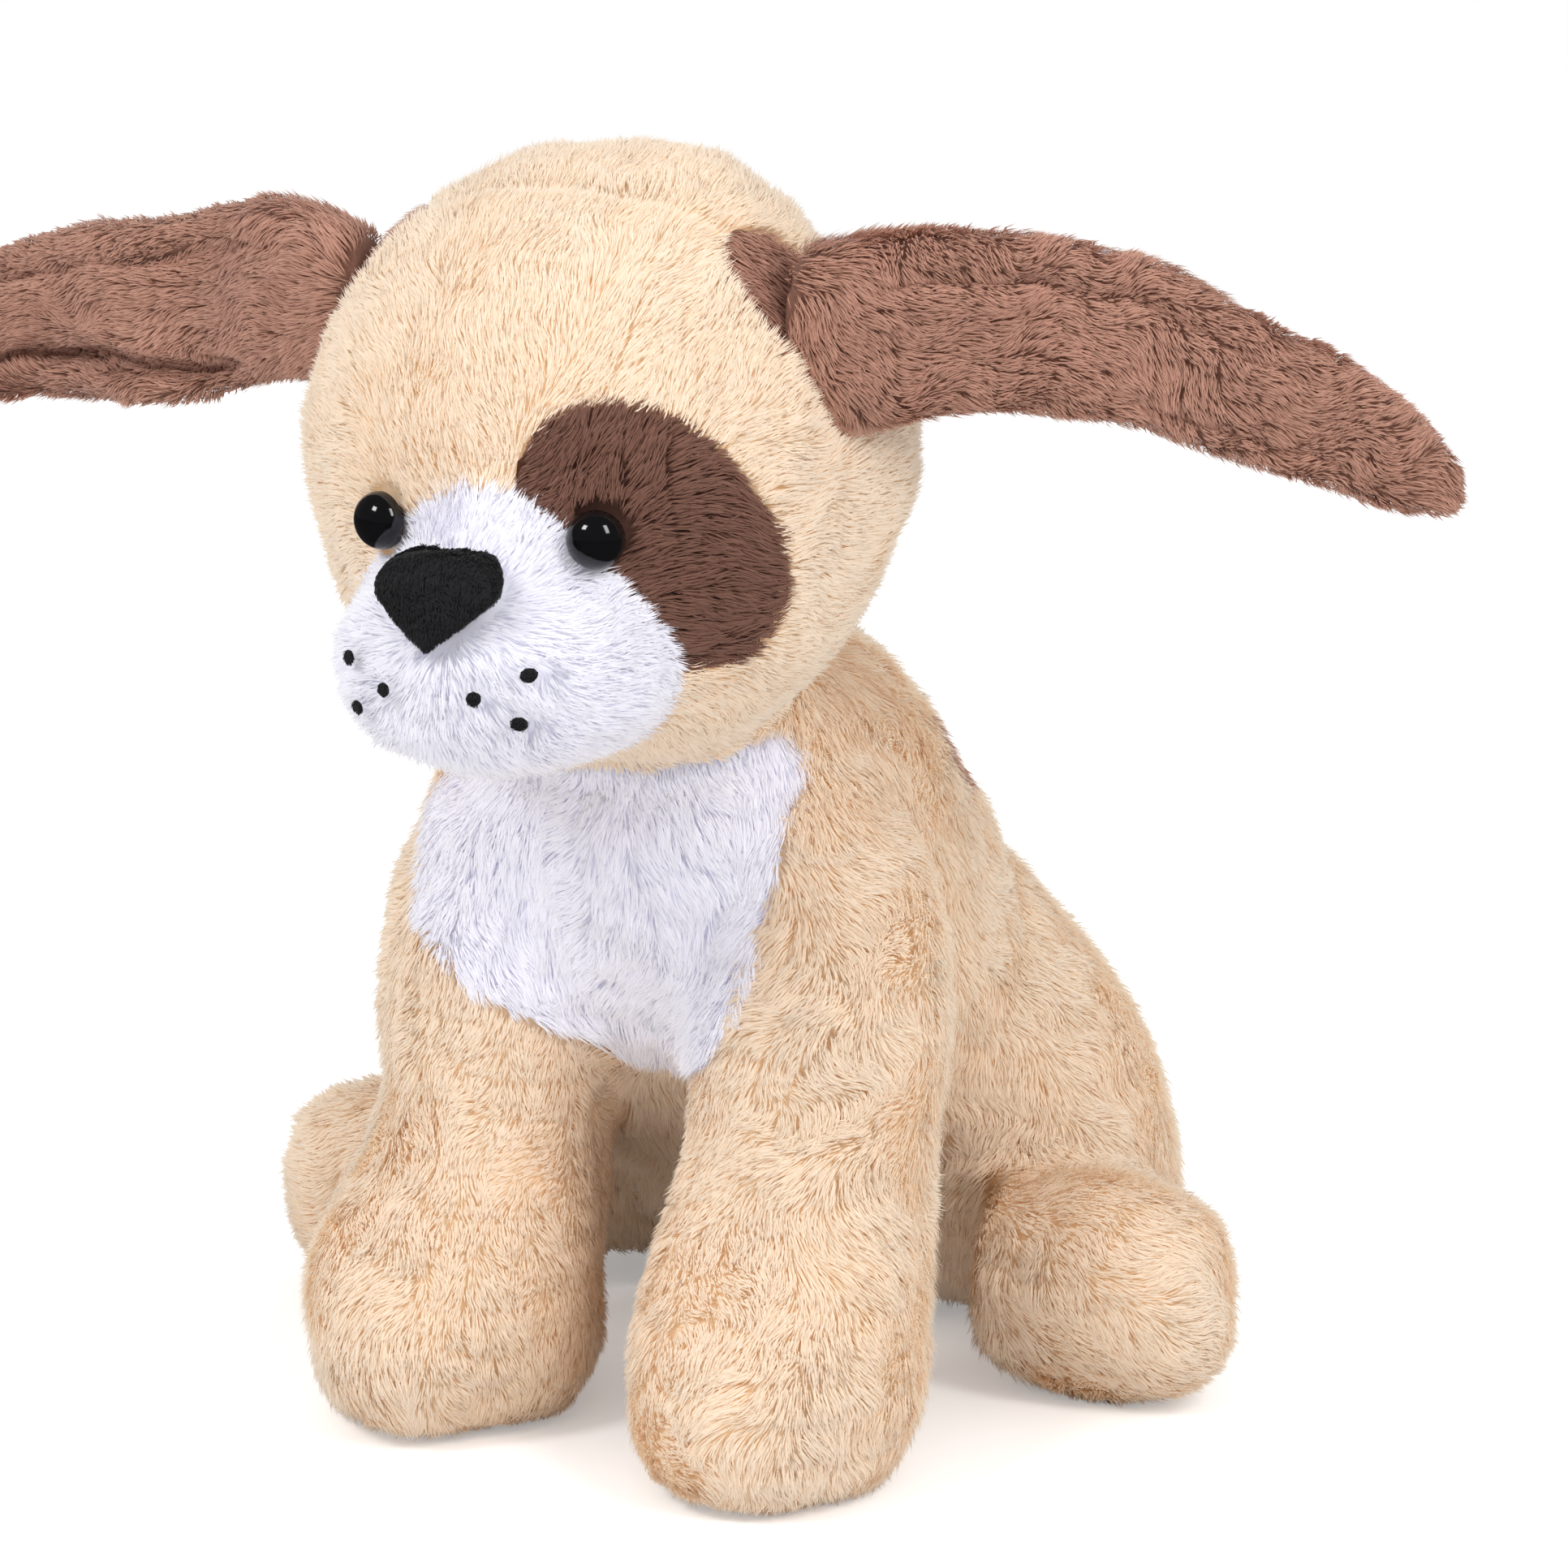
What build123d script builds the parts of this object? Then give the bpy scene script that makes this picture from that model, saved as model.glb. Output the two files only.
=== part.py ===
from build123d import *
from collections import namedtuple
from math import acos, cos, pi, radians, sin, tan
import os

# A sitting plush puppy whose long ears flap when a hind paw is squeezed.
# The puppy faces -Y, its left side is +X, and the origin is on the floor under the seat.

# ---- stuffed forms: sizes of the sewn body, measured to the tips of the pile ----
HEAD_CENTRE = Vector(0, -118, 216.5)
HEAD_HALF = Vector(66, 60.5, 66.7)  # half width, half depth, half height
SKIN = 2.5  # thickness of a patch of pile fabric
SOLE_FLAT = 0.5  # how much of a round form is flattened where it stands
CLEAR = 0.3  # gap between soft pieces that move past each other
SNUG = 0.2  # gap round a hard piece packed in stuffing

# ---- face ----
EYE_OUT = 24.5  # eye centres from the middle of the face
EYE_HEIGHT = 211
EYE_RADIUS = 6
EYE_DOME = 4.4  # how far the dome stands out
EYE_SUNK = 1.4  # how far the dome's rim is pressed into the pile
STEM_RADIUS = 2
STEM_LENGTH = 13
WASHER_RADIUS = 8
WASHER_THICK = 1.6
WASHER_DEPTH = 6  # from the dome's rim to the washer
PATCH_HALF_LONG = 33  # the dark patch round the left eye
PATCH_HALF_SHORT = 24
PATCH_LEAN = 42  # degrees of its long axis off upright, away from the nose at the bottom
PATCH_DROP = 3  # its middle below the eye
PATCH_OUT = 10  # its middle beyond the eye
NOSE_WIDTH = 26
NOSE_HEIGHT = 19.5
NOSE_TIP_WIDTH = 8
NOSE_CORNER = 3
NOSE_CENTRE_Z = 201
NOSE_FRONT_Y = -201
NOSE_CROWN = 28  # radius of the nose's domed front
FRECKLE_RADIUS = 1.5
FRECKLE_PROUD = 0.8
FRECKLES = [(20, 187.8), (10, 183), (18, 177.8)]  # out from the middle, height

# ---- patches on the body ----
BIB_HALF_WIDTH = 42
BIB_TOP = 158
BIB_SIDE = 111  # height where its sides start to round in
BIB_TIP = 80
BIB_BACK = -90  # how far back the patch reaches
SPOT_CENTRE = (22, 139)  # across and height of the dark spot on the back
SPOT_HALF_WIDTH = 30
SPOT_HALF_HEIGHT = 17
SPOT_FRONT = -40  # how far forward the patch reaches

# ---- ears ----
PIVOT_Z = 243
EAR_PLANE_Y = -128  # middle of the ear gears and of the ear roots
EAR_START = 17  # the stuffed ear starts this far from its hinge
EAR_LENGTH = 145  # hinge to ear tip
EAR_HALF_WIDTH = 18
EAR_HALF_THICK = 8
EAR_ROOM = 5  # room in the head in front of the ear's root and behind it, filled by its loose sleeve
EAR_DROOP = 4  # below level, in degrees, at rest
EAR_SWEEP = 14  # towards the back, in degrees
EAR_UP = 30  # flap above rest, in degrees
EAR_DOWN = 18  # flap below rest, in degrees
ROOT_SPREAD = 52  # degrees that the ear's root takes up each side of its line
PADDLE_START = EAR_START
PADDLE_BEND = 30  # hinge to where the paddle sweeps back
PADDLE_END = 96  # hinge to the end of the plastic paddle
PADDLE_THICK = 2
PADDLE_HALF_WIDTH = 9
PADDLE_RISE = 5  # middle of its far end above the line of its socket
PADDLE_NECK = 5.5  # half height of the blade where it leaves the socket
PADDLE_HOLES = (48, 62, 76)  # distances of its lightening holes from the hinge
PADDLE_HOLE_RADIUS = 3
SOCKET_HEIGHT = 13
SOCKET_THICK = 10
TONGUE_END = 24
TONGUE_HEIGHT = 7
TONGUE_THICK = 3
TONGUE_FIT = 0.05
TONGUE_ROOM = 0.5  # room beside the tongue in the case's slot
TONGUE_SPREAD = 26  # degrees that the tongue takes up each side of its line

# ---- ear gear train ----
PRESSURE_ANGLE = 25
ADDENDUM = 0.9
DEDENDUM = 1.15
BACKLASH = 0.14
EAR_MODULE = 1.0
EAR_TEETH = 34
IDLER_TEETH = 19
DRIVE_PINION_TEETH = 11
WHEEL_MODULE = 0.7
WHEEL_TEETH = 34
WHEEL_PINION_TEETH = 11
MOTOR_MODULE = 0.6
FIRST_WHEEL_TEETH = 36
MOTOR_TEETH = 11
DRIVE_BEARING = -102  # direction from the idler to the drive gear, in degrees above +X
FIRST_BEARING = -150
MOTOR_BEARING = -40
GEAR_THICK = 5  # ear gears, idlers and the pinion that drives them
WHEEL_THICK = 4
GEAR_GAP = 0.6  # between one layer of gears and the next
PIN_RADIUS = 1
EAR_PIN_RADIUS = 1.5
RUNNING_FIT = 0.05
HUB_RADIUS = 5

# ---- gearbox case ----
CASE_WALL = 2
CASE_ROOM = 2  # more than the ear gears' pitch radius, so that their swinging teeth clear the wall
CASE_LUG = 4  # radius of a screw lug
SCREW_RADIUS = 1.2
SCREW_HEAD_RADIUS = 2.5
SCREW_HEAD = 1.6
MOTOR_RADIUS = 10
MOTOR_FLATS = 15
MOTOR_LENGTH = 25
MOTOR_BEARING_RADIUS = 4.5
MOTOR_BEARING_PROUD = 2

# ---- battery box in the back ----
BOX_TILT = 20  # lean of the back, in degrees
BOX_CENTRE = Vector(0, 14, 83)  # middle of the battery box's outer face
BOX_WIDTH = 54
BOX_HEIGHT = 68
BOX_DEPTH = 34
BOX_WALL = 2
CELL_RADIUS = 7.2
CELL_LENGTH = 50
CELL_PITCH = 15.6
CELL_END_ROOM = 1.2  # at each end of a cell, for the contacts
CONTACT_THICK = 0.6
CELL_TRAY = 17  # depth of the battery side of the box
DOOR_THICK = 2
DOOR_HEIGHT = 56
DOOR_FIT = 0.05
DOOR_SCREW_RADIUS = 1.5
DOOR_SCREW_HEAD_RADIUS = 2.6
SWITCH_TRAVEL = 4
SWITCH_SLOT = 3.2  # height of the power switch's slot
SWITCH_STEM = 3
SPEAKER_RADIUS = 18
SPEAKER_DEPTH = 5.5
GRILLE_SLIT = 2  # width of a slit in front of the speaker
BOARD_THICK = 1.6
FLAP_GAP = 1.8  # free space between the box and the flap
FLAP_MARGIN = 2  # flap beyond the box at its sides and top
FLAP_LAP = 10  # flap beyond the box at the bottom, where its tape holds
FLAP_CORNER = 10
TAPE_HEIGHT = 8
TAPE_THICK = 1.2

# ---- squeeze switch in the left hind foot ----
PAW_SWITCH = Vector(93, -46, 17)  # bottom middle of the switch
PAW_SWITCH_RADIUS = 12
PAW_SWITCH_HEIGHT = 12
PAW_SWITCH_WALL = 2
PAW_BUTTON_RADIUS = 8
PAW_BUTTON_HEIGHT = 6.5
PAW_BUTTON_SKIRT = 1.5
PAW_BUTTON_TRAVEL = 2
PAW_BUTTON_FIT = 0.1
SPRING_RADIUS = 4
SPRING_WIRE = 0.7
SPRING_TURNS = 4

Level = namedtuple("Level", "along x y half_x half_y")

# Each level is a height, a centre and two half sizes of the oval there.
TORSO = [
    Level(-SOLE_FLAT, 0, 0, 24, 24),
    Level(9, 0, -2, 42, 36),
    Level(27, 0, -6, 52, 44),
    Level(50, 0, -16, 57, 54),
    Level(100, 0, -46, 59, 70),
    Level(125, 0, -57, 57, 68),
    Level(146, 0, -64, 51, 62),
    Level(172, 0, -72, 23, 33),
]
LEG_STEP = 6  # the left paw stands this much forward, and the right paw this much back
LEG_TOP = 146
FRONT_LEG = [
    Level(-SOLE_FLAT, 40, -116, 21, 27),
    Level(7, 40, -117, 31, 38),
    Level(22, 40, -117, 34, 41),
    Level(40, 40, -112, 33, 37),
    Level(58, 39.5, -101, 31, 32),
    Level(85, 39, -95, 30, 31),
    Level(112, 38, -91, 28, 29.5),
    Level(132, 36, -87, 22, 24),
    Level(LEG_TOP, 33, -84, 10, 12),
]
HAUNCH = [
    Level(3, 50, -2, 15, 19),
    Level(12, 51, -2, 28, 35),
    Level(28, 52, -2, 34, 42),
    Level(46, 50, -4, 35, 43),
    Level(66, 47, -5, 33, 42),
    Level(86, 42, -8, 27, 35),
    Level(104, 36, -14, 19, 25),
    Level(116, 31, -20, 9, 12),
]
# Along the foot, from inside the haunch to the sole that faces outwards.
HIND_FOOT = [
    Level(58, 0, 0, 20, 22),
    Level(72, 0, 0, 23.5, 26),
    Level(92, 0, 0, 25, 27.5),
    Level(106, 0, 0, 22.5, 25),
    Level(113, 0, 0, 17.5, 20),
    Level(118.5, 0, 0, 9, 11),
]
FOOT_Y = -46
FOOT_Z = 26
# The muzzle narrows upwards into a bridge between the eyes.
MUZZLE = [
    Level(160, 0, -157, 14, 27),
    Level(165, 0, -161.5, 26, 30),
    Level(178, 0, -165.5, 36, 34),
    Level(192, 0, -165.5, 35, 34),
    Level(203, 0, -163.5, 26, 31.5),
    Level(212, 0, -160.5, 16, 28.5),
    Level(222, 0, -157, 10.5, 24),
]
TAIL = [
    Level(0, 0, 0, 10, 10),
    Level(12, 0, 0, 12, 12),
    Level(28, 0, 0, 13, 13),
    Level(40, 0, 0, 10, 10),
    Level(46, 0, 0, 5, 5),
]
TAIL_ROOT = Vector(0, 30, 24)
TAIL_LIFT = 20  # degrees above level
# Along the ear from its hinge: middle of the width above the ear's line, half width, half thickness.
EAR = [
    (EAR_START - 3, 4, 12, 6),
    (30, 7, 15.5, 7.5),
    (54, 10, EAR_HALF_WIDTH, EAR_HALF_THICK),
    (84, 8.5, EAR_HALF_WIDTH, EAR_HALF_THICK),
    (114, 0, 16, EAR_HALF_THICK),
    (136, -9.5, 11, 6),
    (EAR_LENGTH, -13.5, 5, 3),
]
HEAD_STEPS = [-78, -55, -28, 0, 28, 55, 78]  # degrees of latitude of the head's levels

FAR = 600  # reaches past the whole puppy


def oval(half_x, half_y, knee=45):
    """A smooth closed oval of four arcs that meet where their normals lie at the knee angle."""
    k = radians(knee)
    shift = (half_x - half_y) / (tan(k) + 1 - 1 / cos(k))
    end = half_x - shift
    x = shift + end * cos(k)
    y = end * sin(k)
    ring = [
        ThreePointArc((x, -y), (half_x, 0), (x, y)),
        ThreePointArc((x, y), (0, half_y), (-x, y)),
        ThreePointArc((-x, y), (-half_x, 0), (-x, -y)),
        ThreePointArc((-x, -y), (0, -half_y), (x, -y)),
    ]
    return make_face(ring)


def stuffed(levels, inset=0):
    """A form that swells and tapers upwards through its levels."""
    return loft([Pos(v.x, v.y, v.along) * oval(v.half_x - inset, v.half_y - inset) for v in levels])


def above_floor(form):
    return form & Pos(0, 0, FAR / 2) * Box(FAR, FAR, FAR)


def mirrored(piece):
    return mirror(piece, about=Plane.YZ)


def hull_of(circles):
    """A face round the outside of (x, y, radius) circles."""
    rings = [Pos(x, y) * Circle(r) for x, y, r in circles]
    return make_hull([edge for ring in rings for edge in ring.edges()])


def post(radius, height):
    """An upright cylinder that stands on its origin."""
    return Cylinder(radius, height, align=(Align.CENTER, Align.CENTER, Align.MIN))


def upright(face, y, thick):
    """Extrude a face drawn in X and Z from y towards the back."""
    return extrude(Plane(origin=(0, y, 0), x_dir=(1, 0, 0), z_dir=(0, -1, 0)) * face, -thick)


def round_bar(centre, radius, y, length):
    """A bar along Y from y towards the back, round a centre given in X and Z."""
    return upright(Pos(*centre) * Circle(radius), y, length)


# ---- stuffed body ----
def head_form(inset=0):
    levels = []
    for step in HEAD_STEPS:
        t = radians(step)
        z = HEAD_CENTRE.Z + (HEAD_HALF.Z - inset) * sin(t)
        levels.append(Level(z, 0, HEAD_CENTRE.Y, HEAD_HALF.X * cos(t), HEAD_HALF.Y * cos(t)))
    return stuffed(levels, inset)


def front_leg_form(side):
    """Front leg of one side, 1 for left and -1 for right, stepping more towards the paw."""
    levels = []
    for v in FRONT_LEG:
        step = side * LEG_STEP * (1 - v.along / LEG_TOP)
        levels.append(v._replace(x=side * v.x, y=v.y - step))
    return above_floor(stuffed(levels))


def haunch_form(side):
    return stuffed([v._replace(x=side * v.x) for v in HAUNCH])


def hind_foot_form(side):
    """Hind foot of one side, lying out to that side with its sole outwards."""
    faces = []
    for v in HIND_FOOT:
        section = Plane(origin=(side * v.along, FOOT_Y, FOOT_Z), x_dir=(0, 1, 0), z_dir=(1, 0, 0))
        faces.append(section * oval(v.half_x, v.half_y))
    return above_floor(loft(faces))


def tail_form():
    lift = radians(TAIL_LIFT)
    root = Plane(origin=TAIL_ROOT, x_dir=(1, 0, 0), z_dir=(0, cos(lift), sin(lift)))
    return loft([root.offset(v.along) * oval(v.half_x, v.half_y) for v in TAIL])


def bib_outline():
    """Shield of the white chest patch: width across X, height along Z."""
    half = BIB_HALF_WIDTH
    sides = Polyline((-half, BIB_SIDE), (-half, BIB_TOP), (half, BIB_TOP), (half, BIB_SIDE))
    bulge_x = 0.66 * half
    bulge_z = BIB_TIP + 0.33 * (BIB_SIDE - BIB_TIP)
    left = ThreePointArc((half, BIB_SIDE), (bulge_x, bulge_z), (0, BIB_TIP))
    right = ThreePointArc((0, BIB_TIP), (-bulge_x, bulge_z), (-half, BIB_SIDE))
    return make_face([*sides.edges(), left, right])


def chest_region():
    """Everything behind the chest patch's outline, as far back as the patch reaches."""
    return upright(bib_outline(), BIB_BACK - FAR, FAR)


def spot_region():
    """Everything in front of the back spot's outline, to the middle of the body."""
    outline = Pos(*SPOT_CENTRE) * oval(SPOT_HALF_WIDTH, SPOT_HALF_HEIGHT)
    return upright(outline, SPOT_FRONT, FAR)


# ---- ear gear train: centres in the XZ plane ----
ear_radius = EAR_TEETH * EAR_MODULE / 2
idler_radius = IDLER_TEETH * EAR_MODULE / 2
drive_radius = DRIVE_PINION_TEETH * EAR_MODULE / 2
wheel_radius = WHEEL_TEETH * WHEEL_MODULE / 2
wheel_pinion_radius = WHEEL_PINION_TEETH * WHEEL_MODULE / 2
first_radius = FIRST_WHEEL_TEETH * MOTOR_MODULE / 2
motor_pinion_radius = MOTOR_TEETH * MOTOR_MODULE / 2


def reach(start, distance, degrees_up):
    a = radians(degrees_up)
    return (start[0] + distance * cos(a), start[1] + distance * sin(a))


IDLER = (idler_radius, PIVOT_Z)
OTHER_IDLER = (-idler_radius, PIVOT_Z)
PIVOT_X = 2 * idler_radius + ear_radius
DRIVE = reach(IDLER, idler_radius + drive_radius, DRIVE_BEARING)
FIRST = reach(DRIVE, wheel_radius + wheel_pinion_radius, FIRST_BEARING)
MOTOR = reach(FIRST, first_radius + motor_pinion_radius, MOTOR_BEARING)

# layers of the gearbox along Y, front to back
LAYER_A = EAR_PLANE_Y - GEAR_THICK / 2
LAYER_B = LAYER_A + GEAR_THICK + GEAR_GAP
LAYER_C = LAYER_B + WHEEL_THICK + GEAR_GAP
CASE_FRONT = LAYER_A - GEAR_GAP - CASE_WALL
CASE_BACK = LAYER_C + WHEEL_THICK + GEAR_GAP + CASE_WALL
CASE_DEPTH = CASE_BACK - CASE_FRONT
CASE_SPLIT = LAYER_B - GEAR_GAP / 2


def gear_face(teeth, module, turn=0):
    """Toothed outline with straight flanks that are chords of the involute."""
    pitch = teeth * module / 2
    pressure = radians(PRESSURE_ANGLE)
    base = pitch * cos(pressure)
    tip = pitch + ADDENDUM * module
    root = pitch - DEDENDUM * module
    half_pitch = pi / (2 * teeth) - BACKLASH / (4 * pitch)

    def half_angle(radius):
        a = acos(min(1, base / radius))
        return half_pitch + (tan(pressure) - pressure) - (tan(a) - a)

    low_half = half_angle(max(root, base))
    tip_half = half_angle(tip)
    points = []
    for n in range(teeth):
        middle = radians(turn) + 2 * pi * n / teeth
        for radius, offset in ((root, -low_half), (tip, -tip_half), (tip, tip_half), (root, low_half)):
            a = middle + offset
            points.append((radius * cos(a), radius * sin(a)))
    return make_face(Polyline(*points, close=True))


def mesh_turn(teeth_a, turn_a, direction, teeth_b):
    """Turn of gear b, in degrees, that puts a gap of b on gear a's tooth along the line of centres."""
    phase = ((direction - turn_a) / 360 * teeth_a) % 1
    facing = direction + 180
    return facing + (phase + 0.5) * 360 / teeth_b


# The left ear gear has a tooth on the line to its idler, and the other gears follow from it.
EAR_TURN = 180
idler_turn = mesh_turn(EAR_TEETH, EAR_TURN, 180, IDLER_TEETH)
other_idler_turn = mesh_turn(IDLER_TEETH, idler_turn, 180, IDLER_TEETH)
other_ear_turn = mesh_turn(IDLER_TEETH, other_idler_turn, 180, EAR_TEETH)
drive_turn = mesh_turn(IDLER_TEETH, idler_turn, DRIVE_BEARING, DRIVE_PINION_TEETH)
first_turn = mesh_turn(WHEEL_TEETH, 0, FIRST_BEARING, WHEEL_PINION_TEETH)
motor_turn = mesh_turn(FIRST_WHEEL_TEETH, 0, MOTOR_BEARING, MOTOR_TEETH)


def fan(low, high, radius):
    """A wedge from the origin that covers a radius between two angles in degrees."""
    far = radius / cos(radians((high - low) / 4))
    corners = [(0, 0)]
    for a in (low, (low + high) / 2, high):
        corners.append((far * cos(radians(a)), far * sin(radians(a))))
    return make_face(Polyline(*corners, close=True))


def ear_gear(turn):
    """Ear gear at the left hinge: a toothed sector, a hub on the pin and a tongue out to the paddle."""
    spare = 360 / EAR_TEETH
    tip = ear_radius + ADDENDUM * EAR_MODULE
    sector = gear_face(EAR_TEETH, EAR_MODULE, turn)
    sector &= fan(180 - EAR_UP - spare, 180 + EAR_DOWN + spare, tip)
    tongue = Rot(0, 0, -EAR_DROOP) * Pos(TONGUE_END / 2, 0) * Rectangle(TONGUE_END, TONGUE_HEIGHT)
    hinge = Pos(PIVOT_X, PIVOT_Z)
    body = upright(hinge * (sector + Circle(HUB_RADIUS)), LAYER_A, GEAR_THICK)
    body += upright(hinge * tongue, EAR_PLANE_Y - TONGUE_THICK / 2, TONGUE_THICK)
    return body - round_bar((PIVOT_X, PIVOT_Z), EAR_PIN_RADIUS + RUNNING_FIT, LAYER_A - 1, GEAR_THICK + 2)


def plain_gear(centre, teeth, module, turn, y, thick):
    return upright(Pos(*centre) * gear_face(teeth, module, turn), y, thick)


def on_pin(gear, centre):
    """Bore a gear right through for its pin."""
    return gear - round_bar(centre, PIN_RADIUS + RUNNING_FIT, CASE_FRONT, CASE_DEPTH)


def idler(centre, turn):
    return on_pin(plain_gear(centre, IDLER_TEETH, EAR_MODULE, turn, LAYER_A, GEAR_THICK), centre)


def drive_gear():
    """A wheel and the pinion that turns the left idler, moulded as one."""
    thick = GEAR_THICK + GEAR_GAP
    pinion = plain_gear(DRIVE, DRIVE_PINION_TEETH, EAR_MODULE, drive_turn, LAYER_A, thick)
    wheel = plain_gear(DRIVE, WHEEL_TEETH, WHEEL_MODULE, 0, LAYER_B, WHEEL_THICK)
    return on_pin(pinion + wheel, DRIVE)


def first_gear():
    """A wheel on the motor's pinion and the pinion that turns the drive gear, moulded as one."""
    thick = WHEEL_THICK + GEAR_GAP
    pinion = plain_gear(FIRST, WHEEL_PINION_TEETH, WHEEL_MODULE, first_turn, LAYER_B, thick)
    wheel = plain_gear(FIRST, FIRST_WHEEL_TEETH, MOTOR_MODULE, 0, LAYER_C, WHEEL_THICK)
    return on_pin(pinion + wheel, FIRST)


def motor_pinion():
    """Pinion on the motor's shaft, which runs back into the motor."""
    pinion = plain_gear(MOTOR, MOTOR_TEETH, MOTOR_MODULE, motor_turn, LAYER_C, WHEEL_THICK)
    return pinion + round_bar(MOTOR, PIN_RADIUS, LAYER_C, CASE_BACK - LAYER_C + MOTOR_LENGTH / 2)


# ---- gearbox case ----
LUG_OUT = 31  # lower screw lugs from the middle
LUG_DROP = 19  # lower screw lugs below the ear hinges
LUGS = [
    (0, PIVOT_Z + 20.5),
    (-LUG_OUT, PIVOT_Z - LUG_DROP),
    (LUG_OUT, PIVOT_Z - LUG_DROP),
    (MOTOR[0] - 4, MOTOR[1] - 18),
]
PINS = [
    ((PIVOT_X, PIVOT_Z), EAR_PIN_RADIUS),
    ((-PIVOT_X, PIVOT_Z), EAR_PIN_RADIUS),
    (IDLER, PIN_RADIUS),
    (OTHER_IDLER, PIN_RADIUS),
    (DRIVE, PIN_RADIUS),
    (FIRST, PIN_RADIUS),
]


def case_outline(grow=0):
    """Outline of the gearbox: round the ear hubs, the toothed sectors and the reduction gears."""
    hub = HUB_RADIUS + 6
    sector = ear_radius + CASE_ROOM
    lobes = [
        (-PIVOT_X, PIVOT_Z, hub),
        (PIVOT_X, PIVOT_Z, hub),
        (-PIVOT_X + 14, PIVOT_Z, sector),
        (PIVOT_X - 14, PIVOT_Z, sector),
        (MOTOR[0] - 5, MOTOR[1] + 3, 18),
    ]
    face = hull_of([(x, y, r + grow) for x, y, r in lobes])
    for x, y in LUGS:
        face += Pos(x, y) * Circle(CASE_LUG + grow)
    return face


def ear_slot(inner, outer, half_thick, spread):
    """Space that a piece at the left ear's hinge sweeps between two radii, spread degrees each side."""
    face = fan(-EAR_DROOP - EAR_DOWN - spread, -EAR_DROOP + EAR_UP + spread, outer) - Circle(inner)
    return upright(Pos(PIVOT_X, PIVOT_Z) * face, EAR_PLANE_Y - half_thick, 2 * half_thick)


def tongue_slot(inner):
    return ear_slot(inner, EAR_START + 1, TONGUE_THICK / 2 + TONGUE_ROOM, TONGUE_SPREAD)


def pins():
    """Steel pins that the gears turn on, held in blind holes half way into the case's walls."""
    return [round_bar(centre, r, CASE_FRONT + CASE_WALL / 2, CASE_DEPTH - CASE_WALL) for centre, r in PINS]


def screw(centre):
    head = round_bar(centre, SCREW_HEAD_RADIUS, CASE_FRONT - SCREW_HEAD, SCREW_HEAD)
    return head + round_bar(centre, SCREW_RADIUS, CASE_FRONT, CASE_DEPTH - 1)


def gearbox_case():
    """Front and rear halves of the gearbox, bored for pins, shaft and screws and slotted for the tongues."""
    inner_face = case_outline(-CASE_WALL)
    for x, y in LUGS:
        inner_face -= Pos(x, y) * Circle(CASE_LUG)
    case = upright(case_outline(), CASE_FRONT, CASE_DEPTH)
    case -= upright(inner_face, CASE_FRONT + CASE_WALL, CASE_DEPTH - 2 * CASE_WALL)
    slot = tongue_slot(HUB_RADIUS + 1)
    case = case - slot - mirrored(slot) - pins()
    case -= round_bar(MOTOR, PIN_RADIUS + 1, CASE_BACK - CASE_WALL - 1, CASE_WALL + 2)
    case -= [screw(centre) for centre in LUGS]
    halves = split(case, bisect_by=Plane(origin=(0, CASE_SPLIT, 0), z_dir=(0, -1, 0)), keep=Keep.BOTH)
    return halves.solids().sort_by(Axis.Y)


def motor():
    """Flat-sided can with a bearing boss at its rear end, bored for the shaft."""
    can = round_bar(MOTOR, MOTOR_RADIUS, CASE_BACK, MOTOR_LENGTH)
    middle = Pos(MOTOR[0], CASE_BACK + MOTOR_LENGTH / 2, MOTOR[1])
    can &= middle * Box(3 * MOTOR_RADIUS, MOTOR_LENGTH, MOTOR_FLATS)
    can += round_bar(MOTOR, MOTOR_BEARING_RADIUS, CASE_BACK + MOTOR_LENGTH, MOTOR_BEARING_PROUD)
    return can - round_bar(MOTOR, PIN_RADIUS + RUNNING_FIT, CASE_BACK - 1, MOTOR_LENGTH / 2 + 2)


def gearbox_space():
    """Pocket in the head's stuffing for the gearbox, its screws and the motor."""
    front = CASE_FRONT - SCREW_HEAD - SNUG
    space = upright(case_outline(SNUG), front, CASE_BACK + SNUG - front)
    return space + round_bar(MOTOR, MOTOR_RADIUS + SNUG, CASE_BACK, MOTOR_LENGTH + MOTOR_BEARING_PROUD + SNUG)


# ---- ears: modelled level, with the hinge along Y through the origin ----
def hang(piece):
    """Turn a piece modelled level at the hinge down to the resting droop and put it on the left."""
    return Pos(PIVOT_X, EAR_PLANE_Y, PIVOT_Z) * Rot(0, EAR_DROOP, 0) * piece


def swept_back(along):
    """How far back the middle of the ear lies at a distance from its hinge."""
    return tan(radians(EAR_SWEEP)) * max(0, along - EAR_START)


def ear_form(inset=0):
    """Long flat ear, swept back, from just inside its root to its tip."""
    faces = []
    for along, rise, half_width, half_thick in EAR:
        section = Plane(origin=(along, swept_back(along), rise), x_dir=(0, 0, 1), z_dir=(1, 0, 0))
        faces.append(section * oval(half_width - inset, half_thick - inset, 62))
    return loft(faces)


def root_round():
    """Round space about the hinge that the stuffed ear keeps out of."""
    return Rot(90, 0, 0) * Cylinder(EAR_START, FAR)


def tongue_space(gap):
    middle = TONGUE_END / 2
    return Pos(middle, 0, 0) * Box(TONGUE_END + gap, TONGUE_THICK + 2 * gap, TONGUE_HEIGHT + 2 * gap)


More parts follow.
